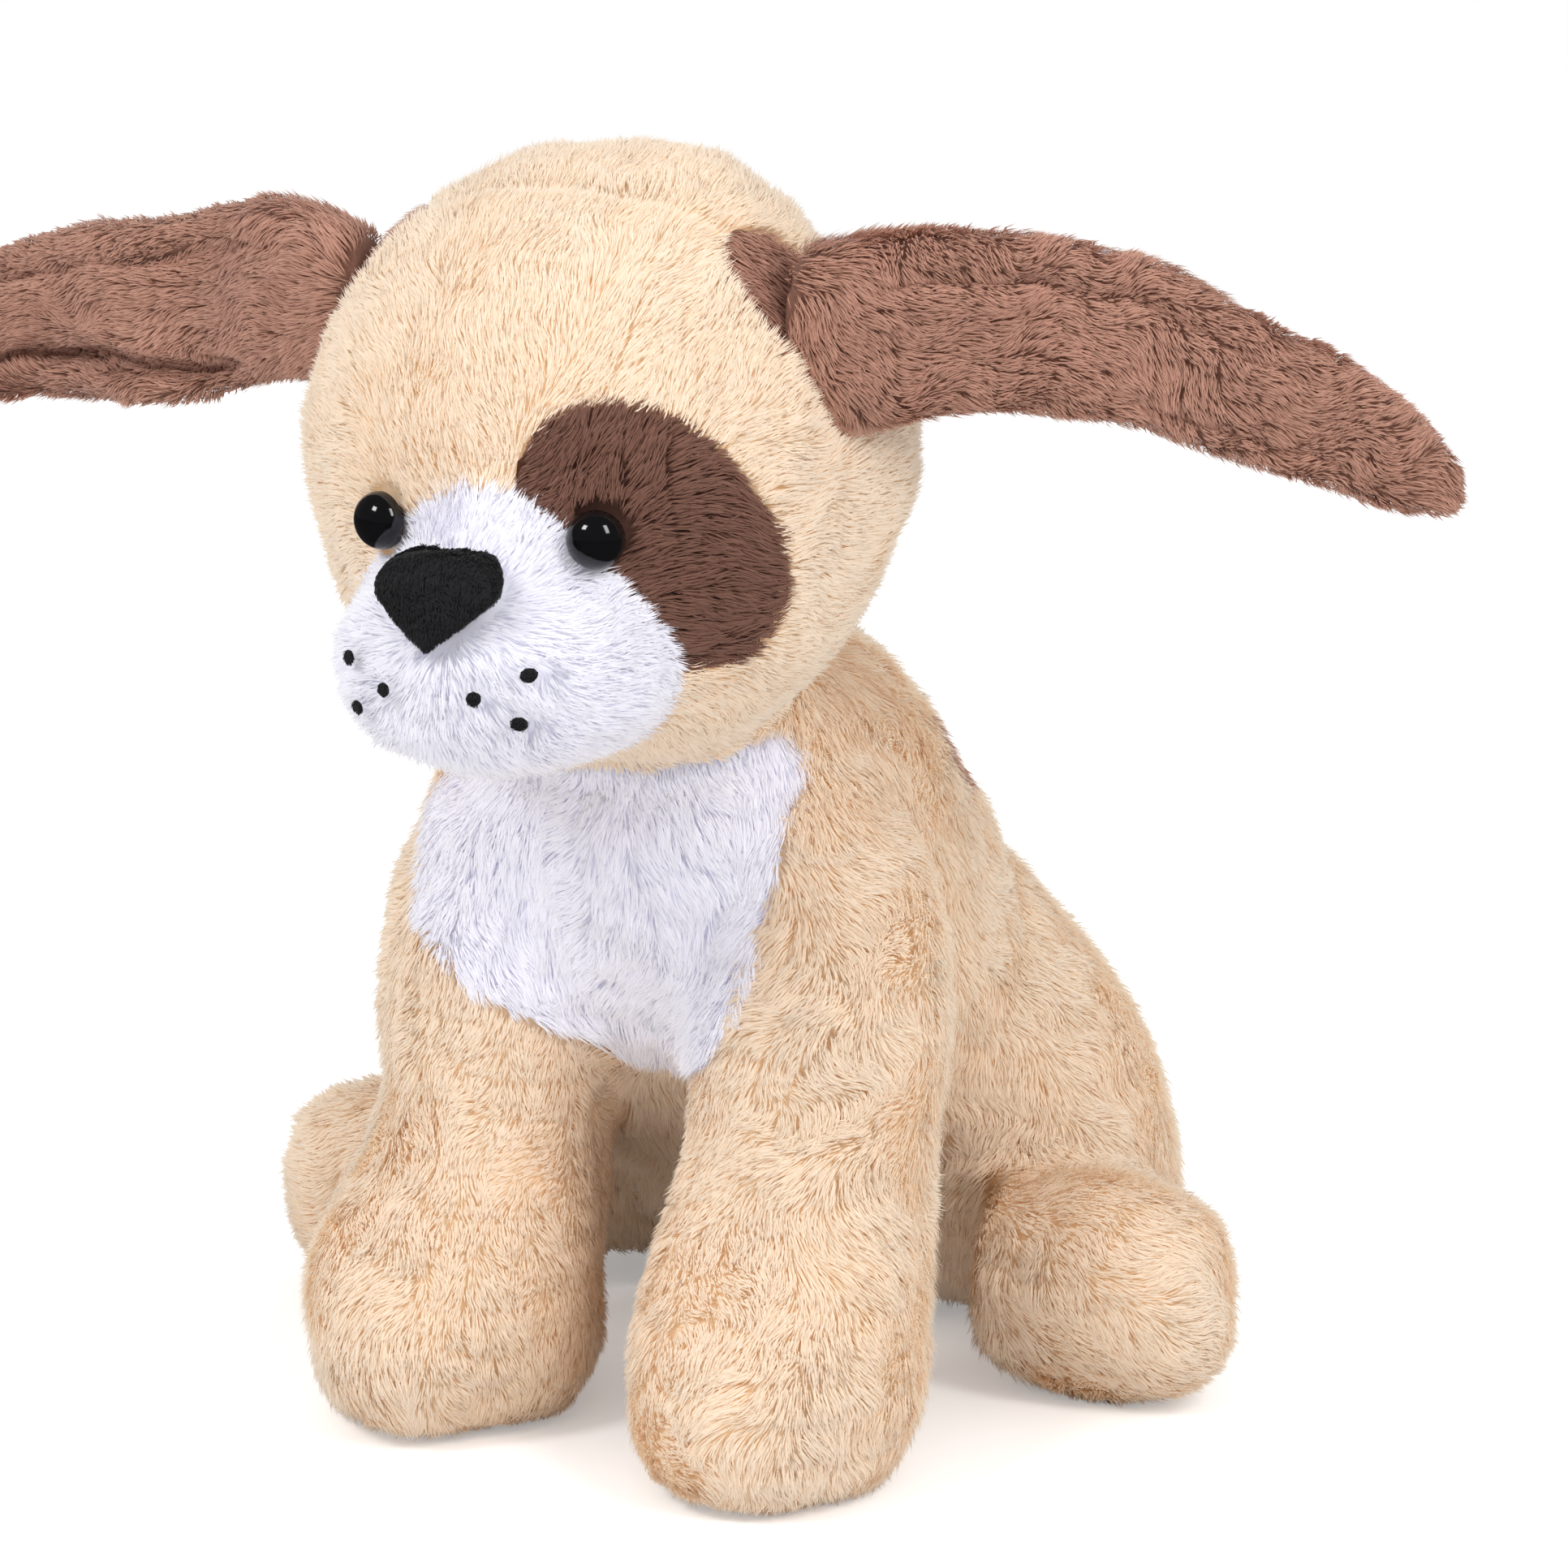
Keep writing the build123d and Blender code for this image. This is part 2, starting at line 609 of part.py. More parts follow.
def paddle_form(grow=0):
    """Plastic paddle: a socket for the gear's tongue and a blade swept back inside the ear."""
    length = PADDLE_BEND - PADDLE_START
    socket = Pos(PADDLE_START + length / 2, 0, 0) * Box(
        length + 2 * grow, SOCKET_THICK + 2 * grow, SOCKET_HEIGHT + 2 * grow
    )
    near = PADDLE_BEND - 1 - grow
    far = PADDLE_END + grow
    half = PADDLE_THICK / 2 + grow
    y_near = swept_back(PADDLE_BEND - 1)
    y_far = swept_back(PADDLE_END)
    front = [(near, y_near - half), (far, y_far - half)]
    back = [(far, y_far + half), (near, y_near + half)]
    height = 2 * (PADDLE_RISE + PADDLE_HALF_WIDTH + grow)
    blade = extrude(Pos(0, 0, -height / 2) * make_face(Polyline(*front, *back, close=True)), height)
    ends = [
        (PADDLE_BEND - PADDLE_NECK, 0, PADDLE_NECK + grow),
        (PADDLE_END - PADDLE_HALF_WIDTH, PADDLE_RISE, PADDLE_HALF_WIDTH + grow),
    ]
    return socket + (blade & upright(hull_of(ends), -FAR / 2, FAR))


def ear_paddle():
    """The paddle with the tongue's pocket and three lightening holes."""
    slope = PADDLE_RISE / (PADDLE_END - PADDLE_HALF_WIDTH - PADDLE_BEND)
    hole = Rot(90, 0, 0) * Cylinder(PADDLE_HOLE_RADIUS, FAR)
    holes = [Pos(x, 0, slope * (x - PADDLE_BEND)) * hole for x in PADDLE_HOLES]
    return paddle_form() - tongue_space(TONGUE_FIT) - holes


def ear_cover():
    """The stuffed ear round its paddle."""
    return ear_form() - root_round() - paddle_form(SNUG) - tongue_space(SNUG)


def ear_room():
    """Space in the head that the ear's root sweeps."""
    return ear_slot(EAR_START - CLEAR, 3.5 * EAR_START, EAR_HALF_THICK + EAR_ROOM, ROOT_SPREAD)


def ear_root(head):
    """Loose sleeve of pile that fills the room round the ear's root and gives as the ear moves."""
    ear = ear_form(-CLEAR) + paddle_form(SNUG) + tongue_space(SNUG)
    return (head & ear_room()) - hang(ear)


# ---- eyes ----
def eye_plane():
    """Plane of the left eye: its origin where the dome's rim sits, +X up and +Z out of the head."""
    z = (EYE_HEIGHT - HEAD_CENTRE.Z) / HEAD_HALF.Z
    x = EYE_OUT / HEAD_HALF.X
    y = -((1 - x * x - z * z) ** 0.5)
    spot = Vector(EYE_OUT, HEAD_CENTRE.Y + y * HEAD_HALF.Y, EYE_HEIGHT)
    out = Vector(x / HEAD_HALF.X, y / HEAD_HALF.Y, z / HEAD_HALF.Z).normalized()
    return Plane(origin=spot - out * EYE_SUNK, x_dir=(0, 0, 1), z_dir=out)


def eye():
    """Domed eye with a stem that locks into its washer."""
    sphere = (EYE_RADIUS**2 + EYE_DOME**2) / (2 * EYE_DOME)
    dome = Pos(0, 0, EYE_DOME - sphere) * Sphere(sphere)
    dome &= post(EYE_RADIUS + 1, EYE_DOME)
    stem = Pos(0, 0, -STEM_LENGTH) * post(STEM_RADIUS, STEM_LENGTH)
    return eye_plane() * (dome + stem)


def eye_washer():
    ring = Cylinder(WASHER_RADIUS, WASHER_THICK) - Cylinder(STEM_RADIUS, WASHER_THICK + 1)
    return eye_plane() * (Pos(0, 0, -WASHER_DEPTH) * ring)


def eye_space():
    """Seat, stem hole and washer pocket in the head."""
    seat = post(EYE_RADIUS + SNUG, 20)
    stem = Pos(0, 0, -STEM_LENGTH - SNUG) * post(STEM_RADIUS + SNUG, STEM_LENGTH + 2 * SNUG)
    pocket = Pos(0, 0, -WASHER_DEPTH) * Cylinder(WASHER_RADIUS + SNUG, WASHER_THICK + 2 * SNUG)
    return eye_plane() * (seat + stem + pocket)


def patch_region():
    """Everything behind and in front of the outline of the dark patch round the left eye."""
    outline = Pos(-PATCH_DROP, -PATCH_OUT) * Rot(0, 0, PATCH_LEAN) * oval(PATCH_HALF_LONG, PATCH_HALF_SHORT)
    return eye_plane() * (Pos(0, 0, -HEAD_HALF.Y / 2) * extrude(outline, HEAD_HALF.Y))


# ---- nose and freckles ----
def nose(muzzle):
    """Stitched nose: a rounded trapezium, widest near its top, domed and laid over the muzzle's tip."""
    half = NOSE_WIDTH / 2
    top = NOSE_CENTRE_Z + NOSE_HEIGHT / 2
    low = NOSE_CENTRE_Z - NOSE_HEIGHT / 2
    shoulder = top - 0.4 * NOSE_HEIGHT
    right = [(NOSE_TIP_WIDTH / 2, low), (half, shoulder), (0.75 * half, top)]
    left = [(-x, z) for x, z in reversed(right)]
    outline = make_face(Polyline(*right, *left, close=True))
    outline = fillet(outline.vertices(), NOSE_CORNER)
    pad = upright(outline, NOSE_FRONT_Y, NOSE_WIDTH)
    pad &= Pos(0, NOSE_FRONT_Y + NOSE_CROWN, NOSE_CENTRE_Z - 6) * Sphere(NOSE_CROWN)
    return pad - muzzle


def freckles(muzzle):
    """Three stitched dots on the left of the muzzle, each standing a little proud."""
    proud = stuffed(MUZZLE, -FRECKLE_PROUD)
    dots = []
    for x, z in FRECKLES:
        dot = round_bar((x, z), FRECKLE_RADIUS, NOSE_FRONT_Y - 10, 40)
        dots += ((dot & proud) - muzzle).solids()
    return dots


# ---- battery box: modelled with X across, Y up the back and Z out of it ----
DOOR_WIDTH = BOX_WIDTH - 2 * BOX_WALL
DOOR_Y = -(BOX_HEIGHT - DOOR_HEIGHT) / 2 + BOX_WALL
DOOR_SCREW_Y = DOOR_Y + DOOR_HEIGHT / 2 - 5
SWITCH_Y = BOX_HEIGHT / 2 - 5.5
TRAY_FLOOR = -CELL_TRAY - BOX_WALL


def box_plane():
    t = radians(BOX_TILT)
    return Plane(origin=BOX_CENTRE, x_dir=(-1, 0, 0), z_dir=(0, cos(t), sin(t)))


def slab(width, height, near, far, x=0, y=0):
    """A block from depth near to depth far, centred on x and y."""
    return Pos(x, y, (near + far) / 2) * Box(width, height, abs(far - near))


def battery_box():
    """Rear half of the box: a tray for three cells, a ledge for the door and the switch's slot."""
    case = slab(BOX_WIDTH, BOX_HEIGHT, TRAY_FLOOR, 0)
    case -= slab(3 * CELL_PITCH + 1, CELL_LENGTH + 2 * CELL_END_ROOM, -CELL_TRAY, 1, 0, DOOR_Y)
    case -= slab(DOOR_WIDTH + 2 * DOOR_FIT, DOOR_HEIGHT + 2 * DOOR_FIT, -DOOR_THICK, 1, 0, DOOR_Y)
    case -= slab(SWITCH_SLOT + SWITCH_TRAVEL, SWITCH_SLOT, TRAY_FLOOR - 1, 1, 0, SWITCH_Y)
    case -= slab(12 + SWITCH_TRAVEL, 7, -6, -1.5, 0, SWITCH_Y)
    for side in (-1, 1):
        case += slab(1, CELL_LENGTH, -CELL_TRAY, -CELL_TRAY + 3, side * CELL_PITCH / 2, DOOR_Y)
    return case


def battery_door():
    """Door with finger ridges and a hole for its screw."""
    plate = slab(DOOR_WIDTH, DOOR_HEIGHT, -DOOR_THICK, 0, 0, DOOR_Y)
    for n in range(4):
        plate -= slab(16, 1, -0.6, 1, 0, DOOR_Y - 12 + 3 * n)
    return plate - Pos(0, DOOR_SCREW_Y, 0) * Cylinder(DOOR_SCREW_RADIUS + 0.1, 3 * DOOR_THICK)


def door_screw():
    shank = Pos(0, DOOR_SCREW_Y, -DOOR_THICK) * post(DOOR_SCREW_RADIUS, DOOR_THICK)
    return shank + Pos(0, DOOR_SCREW_Y, 0) * post(DOOR_SCREW_HEAD_RADIUS, 1.2)


def cells():
    """Three cells side by side, the middle one the other way round."""
    made = []
    for n in (-1, 0, 1):
        can = Rot(90, 0, 0) * Cylinder(CELL_RADIUS, CELL_LENGTH - 1)
        tip = Rot(90, 0, 0) * Cylinder(2.7, CELL_LENGTH)
        flip = -0.5 if n else 0.5
        level = -CELL_TRAY + CELL_RADIUS + 0.6
        made.append(Pos(n * CELL_PITCH, DOOR_Y, level) * (Pos(0, flip, 0) * can + tip))
    return made


def contacts():
    """Sprung plates at the ends of the cells."""
    made = []
    for end in (-1, 1):
        y = DOOR_Y + end * (CELL_LENGTH + CELL_END_ROOM + CONTACT_THICK) / 2
        for n in (-1, 0, 1):
            made.append(slab(9, CONTACT_THICK, -CELL_TRAY + 2, -CELL_TRAY + 12, n * CELL_PITCH, y))
    return made


def sound_housing():
    """Front half of the box, with slits in front of the speaker."""
    shell = slab(BOX_WIDTH, BOX_HEIGHT, -BOX_DEPTH, TRAY_FLOOR)
    shell -= slab(BOX_WIDTH - 2 * BOX_WALL, BOX_HEIGHT - 2 * BOX_WALL, -BOX_DEPTH + BOX_WALL, TRAY_FLOOR + 1)
    for n in range(-3, 4):
        y = 2 * GRILLE_SLIT * n
        half = (SPEAKER_RADIUS**2 - y**2) ** 0.5 - BOX_WALL
        shell -= slab(2 * half, GRILLE_SLIT, -BOX_DEPTH - 1, -BOX_DEPTH + BOX_WALL + 1, 0, y)
    return shell


def speaker():
    """Speaker with a dished cone towards the slits and its magnet behind."""
    frame = post(SPEAKER_RADIUS, 2) - Cone(
        SPEAKER_RADIUS - 3, 8, 1, align=(Align.CENTER, Align.CENTER, Align.MIN)
    )
    magnet = Pos(0, 0, 2) * post(SPEAKER_RADIUS / 2, SPEAKER_DEPTH - 2)
    return Pos(0, 0, -BOX_DEPTH + BOX_WALL) * (frame + magnet)


def circuit_board():
    """Board with its sound chip and a capacitor on the battery side."""
    level = TRAY_FLOOR - 3
    board = slab(BOX_WIDTH - 8, BOX_HEIGHT - 12, level, level - BOARD_THICK)
    chip = slab(12, 8, level, level + 1.5, 10, 14)
    return board + chip + Pos(-12, 16, level) * post(3, 2.4)


def switch_knob():
    """Sliding power switch at the off end of its slot."""
    plate = slab(9, 5, -5, -2.6, -SWITCH_TRAVEL / 2, SWITCH_Y)
    return plate + slab(SWITCH_STEM, SWITCH_STEM - 0.4, -2.6, 1, -SWITCH_TRAVEL / 2, SWITCH_Y)


# ---- access flap in the back, and the tapes that hold it shut ----
FLAP_WIDTH = BOX_WIDTH + 2 * FLAP_MARGIN
FLAP_HEIGHT = BOX_HEIGHT + FLAP_MARGIN + FLAP_LAP
FLAP_Y = (FLAP_MARGIN - FLAP_LAP) / 2
TAPE_Y = FLAP_Y - FLAP_HEIGHT / 2 + FLAP_LAP / 2
TAPE_WIDTH = FLAP_WIDTH - 2 * FLAP_CORNER


def flap_region(grow=0):
    """Everything outwards of the flap's outline, from the free space over the box."""
    outline = RectangleRounded(FLAP_WIDTH + 2 * grow, FLAP_HEIGHT + 2 * grow, FLAP_CORNER + grow)
    return Pos(0, FLAP_Y, FLAP_GAP - grow) * extrude(outline, BOX_DEPTH)


def hook_tape():
    """Tape let into the flap's inner face, along its lower edge."""
    return slab(TAPE_WIDTH, TAPE_HEIGHT, FLAP_GAP, FLAP_GAP + TAPE_THICK, 0, TAPE_Y)


def loop_tape():
    """Tape on the body under the hook tape."""
    return slab(TAPE_WIDTH, TAPE_HEIGHT, FLAP_GAP - CLEAR - TAPE_THICK, FLAP_GAP - CLEAR, 0, TAPE_Y)


# ---- squeeze switch ----
BUTTON_LOW = PAW_SWITCH_HEIGHT - PAW_SWITCH_WALL - PAW_BUTTON_SKIRT - PAW_BUTTON_FIT


def paw_switch():
    """Round cup with a lid that the button's skirt stays under."""
    cup = post(PAW_SWITCH_RADIUS, PAW_SWITCH_HEIGHT)
    room = PAW_SWITCH_HEIGHT - 2 * PAW_SWITCH_WALL
    cup -= Pos(0, 0, PAW_SWITCH_WALL) * post(PAW_SWITCH_RADIUS - PAW_SWITCH_WALL, room)
    cup -= Pos(0, 0, room) * post(PAW_BUTTON_RADIUS + PAW_BUTTON_FIT, PAW_SWITCH_HEIGHT)
    return Pos(PAW_SWITCH) * cup


def paw_button():
    """Hollow button with a skirt, rounded on top."""
    cap = post(PAW_BUTTON_RADIUS, PAW_BUTTON_HEIGHT)
    cap = fillet(cap.edges().sort_by(Axis.Z)[-1], 1.5)
    cap += post(PAW_SWITCH_RADIUS - PAW_SWITCH_WALL - 2 * PAW_BUTTON_FIT, PAW_BUTTON_SKIRT)
    cap -= post(PAW_BUTTON_RADIUS - 2, PAW_BUTTON_HEIGHT - 2.5)
    return Pos(PAW_SWITCH) * Pos(0, 0, BUTTON_LOW) * cap


def paw_spring():
    """Light spring of square wire between the cup's floor and the button."""
    low = PAW_SWITCH_WALL + SPRING_WIRE
    high = BUTTON_LOW + PAW_BUTTON_HEIGHT - 2.5 - SPRING_WIRE
    path = Helix(pitch=(high - low) / SPRING_TURNS, height=high - low, radius=SPRING_RADIUS)
    wire = Plane(origin=path @ 0, z_dir=path % 0) * Rectangle(SPRING_WIRE, SPRING_WIRE)
    return Pos(PAW_SWITCH) * Pos(0, 0, low) * sweep(wire, path=path, is_frenet=True)


def paw_space():
    """Pocket in the foot for the switch, with room over the button."""
    height = PAW_SWITCH_HEIGHT + 8
    return Pos(PAW_SWITCH) * Pos(0, 0, -SNUG) * post(PAW_SWITCH_RADIUS + SNUG, height)


# ---- build everything ----
nodes = {}
torso = above_floor(stuffed(TORSO))
torso_core = stuffed(TORSO, SKIN)
head = head_form()
muzzle = stuffed(MUZZLE)
box = box_plane()

# body
chest_skin = (torso & chest_region()) - torso_core
spot_skin = (torso & spot_region()) - torso_core
box_space = box * slab(BOX_WIDTH + 2 * SNUG, BOX_HEIGHT + 2 * SNUG, -BOX_DEPTH - SNUG, FLAP_GAP)
body = torso - chest_skin - spot_skin - box_space - box * flap_region(CLEAR)
nodes["body"] = body - box * loop_tape()
nodes["chest_bib"] = chest_skin - head
nodes["back_spot"] = spot_skin
nodes["access_flap"] = (torso & box * flap_region()) - box * hook_tape()
nodes["flap_hook_tape"] = box * hook_tape()
nodes["flap_loop_tape"] = box * loop_tape()
nodes["tail"] = tail_form() - torso

# limbs, each cut by the larger forms that it is sewn to
for name, side in (("left", 1), ("right", -1)):
    leg = front_leg_form(side)
    haunch = haunch_form(side)
    nodes[f"front_leg_{name}"] = leg - torso
    nodes[f"haunch_{name}"] = haunch - torso - box * flap_region(CLEAR)
    nodes[f"hind_foot_{name}"] = hind_foot_form(side) - torso - haunch - leg
nodes["hind_foot_left"] -= paw_space()

# head
patch_skin = (head & patch_region()) - head_form(SKIN) - muzzle - eye_space()
hollows = [ear_room(), eye_space(), tongue_slot(0.1)]
hollows += [mirrored(hollow) for hollow in hollows]
nodes["head"] = head - torso - gearbox_space() - hollows - patch_skin
nodes["eye_patch"] = patch_skin
nodes["muzzle"] = muzzle - head
nodes["nose"] = nose(muzzle)
nodes["freckles_left"] = Compound(children=freckles(muzzle))
nodes["freckles_right"] = Compound(children=[mirrored(dot) for dot in freckles(muzzle)])

# ears and eyes
pairs = {
    "ear": hang(ear_cover()),
    "ear_root": ear_root(head),
    "ear_paddle": hang(ear_paddle()),
    "eye": eye(),
    "eye_washer": eye_washer(),
}
for name, piece in pairs.items():
    nodes[f"{name}_left"] = piece
    nodes[f"{name}_right"] = mirrored(piece)

# gearbox
nodes["ear_gear_left"] = ear_gear(EAR_TURN)
nodes["ear_gear_right"] = mirrored(ear_gear(180 - other_ear_turn))
nodes["idler_left"] = idler(IDLER, idler_turn)
nodes["idler_right"] = idler(OTHER_IDLER, other_idler_turn)
nodes["drive_gear"] = drive_gear()
nodes["first_gear"] = first_gear()
nodes["motor_pinion"] = motor_pinion()
nodes["gear_pins"] = Compound(children=pins())
nodes["gearbox_front"], nodes["gearbox_rear"] = gearbox_case()
nodes["gearbox_screws"] = Compound(children=[screw(centre) for centre in LUGS])
nodes["ear_motor"] = motor()

# battery box
nodes["battery_box"] = box * battery_box()
nodes["battery_door"] = box * battery_door()
nodes["door_screw"] = box * door_screw()
nodes["battery_cells"] = Compound(children=[box * cell for cell in cells()])
nodes["battery_contacts"] = Compound(children=[box * plate for plate in contacts()])
nodes["sound_housing"] = box * sound_housing()
nodes["speaker"] = box * speaker()
nodes["circuit_board"] = box * circuit_board()
nodes["power_switch"] = box * switch_knob()

# squeeze switch
nodes["paw_switch"] = paw_switch()
nodes["paw_button"] = paw_button()
nodes["paw_spring"] = paw_spring()

os.makedirs("parts", exist_ok=True)
for name, piece in nodes.items():
    export_step(piece, f"parts/{name}.step")
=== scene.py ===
"""Plush puppy whose ears flap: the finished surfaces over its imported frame."""
from collections import namedtuple
from math import cos, pi, radians, sin, tan

import bmesh
import bpy
import numpy as np
from bpy.props import FloatProperty, FloatVectorProperty, PointerProperty
from mathutils import Matrix, Vector
from mathutils.bvhtree import BVHTree


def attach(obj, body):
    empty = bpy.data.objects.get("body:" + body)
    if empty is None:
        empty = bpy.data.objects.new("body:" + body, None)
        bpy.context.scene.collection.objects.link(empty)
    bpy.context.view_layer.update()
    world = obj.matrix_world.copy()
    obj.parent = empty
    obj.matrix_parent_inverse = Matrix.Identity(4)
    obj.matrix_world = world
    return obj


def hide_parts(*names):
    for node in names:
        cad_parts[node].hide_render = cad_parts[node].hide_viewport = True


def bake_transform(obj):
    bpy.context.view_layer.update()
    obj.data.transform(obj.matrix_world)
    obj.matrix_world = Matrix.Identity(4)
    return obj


bl_info = {
    "name": "Plush Puppy",
    "version": (1, 0, 0),
    "blender": (4, 5, 0),
    "location": "3D View > Sidebar > Puppy",
    "description": "Pile fabric, eyes, stitching and inner works of a plush puppy whose ears flap",
    "category": "Object",
}

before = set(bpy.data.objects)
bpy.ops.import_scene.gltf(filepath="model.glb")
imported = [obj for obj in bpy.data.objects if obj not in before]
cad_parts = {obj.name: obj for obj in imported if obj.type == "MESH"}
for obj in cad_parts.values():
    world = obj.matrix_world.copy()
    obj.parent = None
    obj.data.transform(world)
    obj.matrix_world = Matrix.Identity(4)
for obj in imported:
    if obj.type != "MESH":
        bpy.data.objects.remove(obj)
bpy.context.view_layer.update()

# The puppy faces -Y, its left side is +X, and the origin is on the floor under the seat.
MM = 0.001
SIDES = {1: "left", -1: "right"}
HEAD_CENTRE = Vector((0, -118, 216.5)) * MM
HEAD_HALF = Vector((66, 60.5, 66.7)) * MM
NOSE_CENTRE = Vector((0, -197, 201)) * MM
NOSE_HALF = (13.5 * MM, 9.9 * MM)
NOSE_WIDEST = 0.13  # height of its widest part, from -1 at its tip to 1 at its top
NOSE_LEAST = 0.25  # least share of the CAD form's width that rounding leaves
EYE_OUT = 24.5 * MM
EYE_HEIGHT = 211 * MM
EYE_RADIUS = 6 * MM
EYE_DOME = 5 * MM
EYE_SUNK = 1.2 * MM
EYE_CUT = 1.2 * MM  # from its middle back to where the dome ends
SHANK_INSET = 3.6 * MM
SHANK_LENGTH = 10 * MM
FRECKLES = [(20, 187.8), (10, 183), (18, 177.8)]  # out from the middle and height, mm
FACE_BACK = -150 * MM  # eyes, nose, muzzle and freckles lie in front of it
NOSE_BACK = -175 * MM
CROWN_PARTING = NOSE_CENTRE + Vector((0, 0.01, 0.004))  # the head's pile lies away from it
PAW_PARTING = np.array([0.04, -0.11, 0.03])  # the left paw's pile lies away from it
TAIL_RISE = radians(20)

# how far pile grows under the edges of the eyes and the nose, and where it starts round a freckle
EYE_LAP = 0.3 * MM
NOSE_LAP = 1.2 * MM
NOSE_BARE = 0.86  # share of the nose's height
FRECKLE_BARE = 1.7 * MM
# how far round each of them the pile leans away from it, and how strongly
EYE_LEAN = (10 * MM, 2.5)
NOSE_LEAN = (16 * MM, 0.8)
FRECKLE_LEAN = (3.5 * MM, 1.5)

# white patch on the chest
BIB_HALF = 42 * MM
BIB_TOP = 158 * MM
BIB_SIDE = 111 * MM  # height where its sides start to round in
BIB_TIP = 80 * MM
BIB_BACK = -96 * MM  # how far back it reaches
BIB_LEAN = (-7 * MM, 7 * MM)  # its middle at the sides' end and at its tip

# white between the eyes: height and half width, mm
BRIDGE = [(202, 25), (209, 18.5), (214.5, 12.5), (218.5, 4)]

# brown on the head round an ear's root: a disc across the head
EAR_BASE = Vector((0, -128, 253)) * MM
EAR_BASE_RADIUS = 14 * MM
EAR_BASE_START = 28 * MM  # how far out it starts

# inner panel of a front leg: its half width at the floor and that width's growth with height
GUSSET_HALF = 26 * MM
GUSSET_GROWTH = 0.2
GUSSET_BACK = -70 * MM
GUSSET_TOP = 100 * MM

# seam over the head: it crosses at SEAM_FRONT at the height of the crown, and lies further back
# as it comes down to its low end
SEAM_FRONT = -136 * MM
SEAM_CROWN = 270 * MM
SEAM_SLOPE = 0.8
SEAM_LOW = 232 * MM

FOOT_START = 86 * MM  # how far out the hind feet's rounder ends start
FOOT_TOP = 80 * MM
FOOT_ROUNDING = 18  # times that their skin is smoothed

# battery pocket: plane of its door and outline of the flap over it
BOX_TILT = radians(20)
BOX_CENTRE = Vector((0, 14, 83)) * MM
BOX_ACROSS = (-1, 0, 0)
BOX_UP = (0, -sin(BOX_TILT), cos(BOX_TILT))
BOX_OUT = (0, cos(BOX_TILT), sin(BOX_TILT))
BOX_REACH = 50 * MM  # how far in front of its middle the back ends
FLAP_HALF = (29 * MM, 40 * MM)
FLAP_MIDDLE = -4 * MM
FLAP_CORNER = 10 * MM
FLAP_INSIDE = 2.5 * MM  # no pile grows nearer to the door
FLAP_VOXEL = 1.6 * MM
# fold that the flap hangs on: a roll, with its middle up the back and out of it
FOLD_PLACE = (36.7 * MM, 11.2 * MM)
FOLD_RADIUS = 1.6 * MM
FOLD_SIDES = 12

# ears
EAR_HINGE = Vector((36, -128, 243)) * MM
EAR_DROOP = radians(4)
EAR_SWEEP = radians(14)
EAR_START = 17  # how far out it starts to sweep back, mm
# two places out along the ear's hinge, mm, passed on when the ear's piece is finished
EAR_BENDS = (42, 72)
EAR_RINGS = 64
EAR_AROUND = 48
EAR_VOXEL = 1.4 * MM
EAR_ROOT = 50 * MM  # no pile grows nearer to the middle, where the head's hides it
EAR_CRUMPLES = {1: 0.8, -1: 1.8}
EAR_GROOVES = (4.2, 4, 1.2)  # depth beside the upper rim, beside the lower one, and of the panel, mm
# groove beside the upper rim, painted highlight on the lip under it, groove beside the left
# ear's lower rim and crease in the right ear, from -1 at the lower edge to 1 at the upper
RIM_LEVEL = 0.56
RIM_WIDTH = 0.075
HIGHLIGHT_LEVEL = 0.46
HIGHLIGHT_WIDTH = 0.06
LOWER_LEVEL = -0.62
LOWER_WIDTH = 0.08
CREASE_LEVEL = -0.78  # at the root
CREASE_RISE = 0.3
CREASE_WIDTH = 0.13
CREASE_DEPTH = 2.2  # against the left ear's groove
# where they start along the ear, are full, fade and end, mm
RIM_STRETCH = (26, 36, 104, 128)
LOWER_STRETCH = (66, 88, 122, 136)
PANEL_STRETCH = (30, 50, 112, 136)
# Along from the hinge, middle above the ear's line, half width, half thickness, all in mm. The
# right ear is turned a little towards the front, so that it looks wider.
EAR_LEVELS = {
    1: [
        (12, 6, 16, 8.5),
        (24, 7, 18, 9),
        (38, 9.5, 18, 8),
        (54, 11.5, 17, 6.5),
        (84, 9, 15, 6),
        (114, -1, 13, 5.5),
        (134, -10, 8.5, 4.5),
        (142, -14, 4.5, 2.5),
    ],
    -1: [
        (12, 4, 14, 8),
        (24, 6.5, 16.5, 8.5),
        (38, 8, 18, 7.5),
        (54, 6.5, 19, 6.5),
        (84, 3, 19, 6),
        (112, -2, 16, 5.5),
        (134, -8, 11, 4.5),
        (143, -11, 4.5, 2.5),
    ],
}


# ---- small helpers ----
def linear(code):
    """An sRGB hex colour as linear red, green and blue."""
    parts = [int(code[i : i + 2], 16) / 255 for i in (1, 3, 5)]
    return tuple(c / 12.92 if c <= 0.04045 else ((c + 0.055) / 1.055) ** 2.4 for c in parts)


def only(ob):
    """Select one object and make it the active one."""
    bpy.ops.object.select_all(action="DESELECT")
    ob.select_set(True)
    bpy.context.view_layer.objects.active = ob


def new_object(name, mesh):
    ob = bpy.data.objects.new(name, mesh)
    bpy.context.scene.collection.objects.link(ob)
    return ob


def shaped(ob, kind, **settings):
    """Apply one modifier to an object."""
    only(ob)
    modifier = ob.modifiers.new(kind, kind)
    for key, value in settings.items():
        setattr(modifier, key, value)
    bpy.ops.object.modifier_apply(modifier=modifier.name)


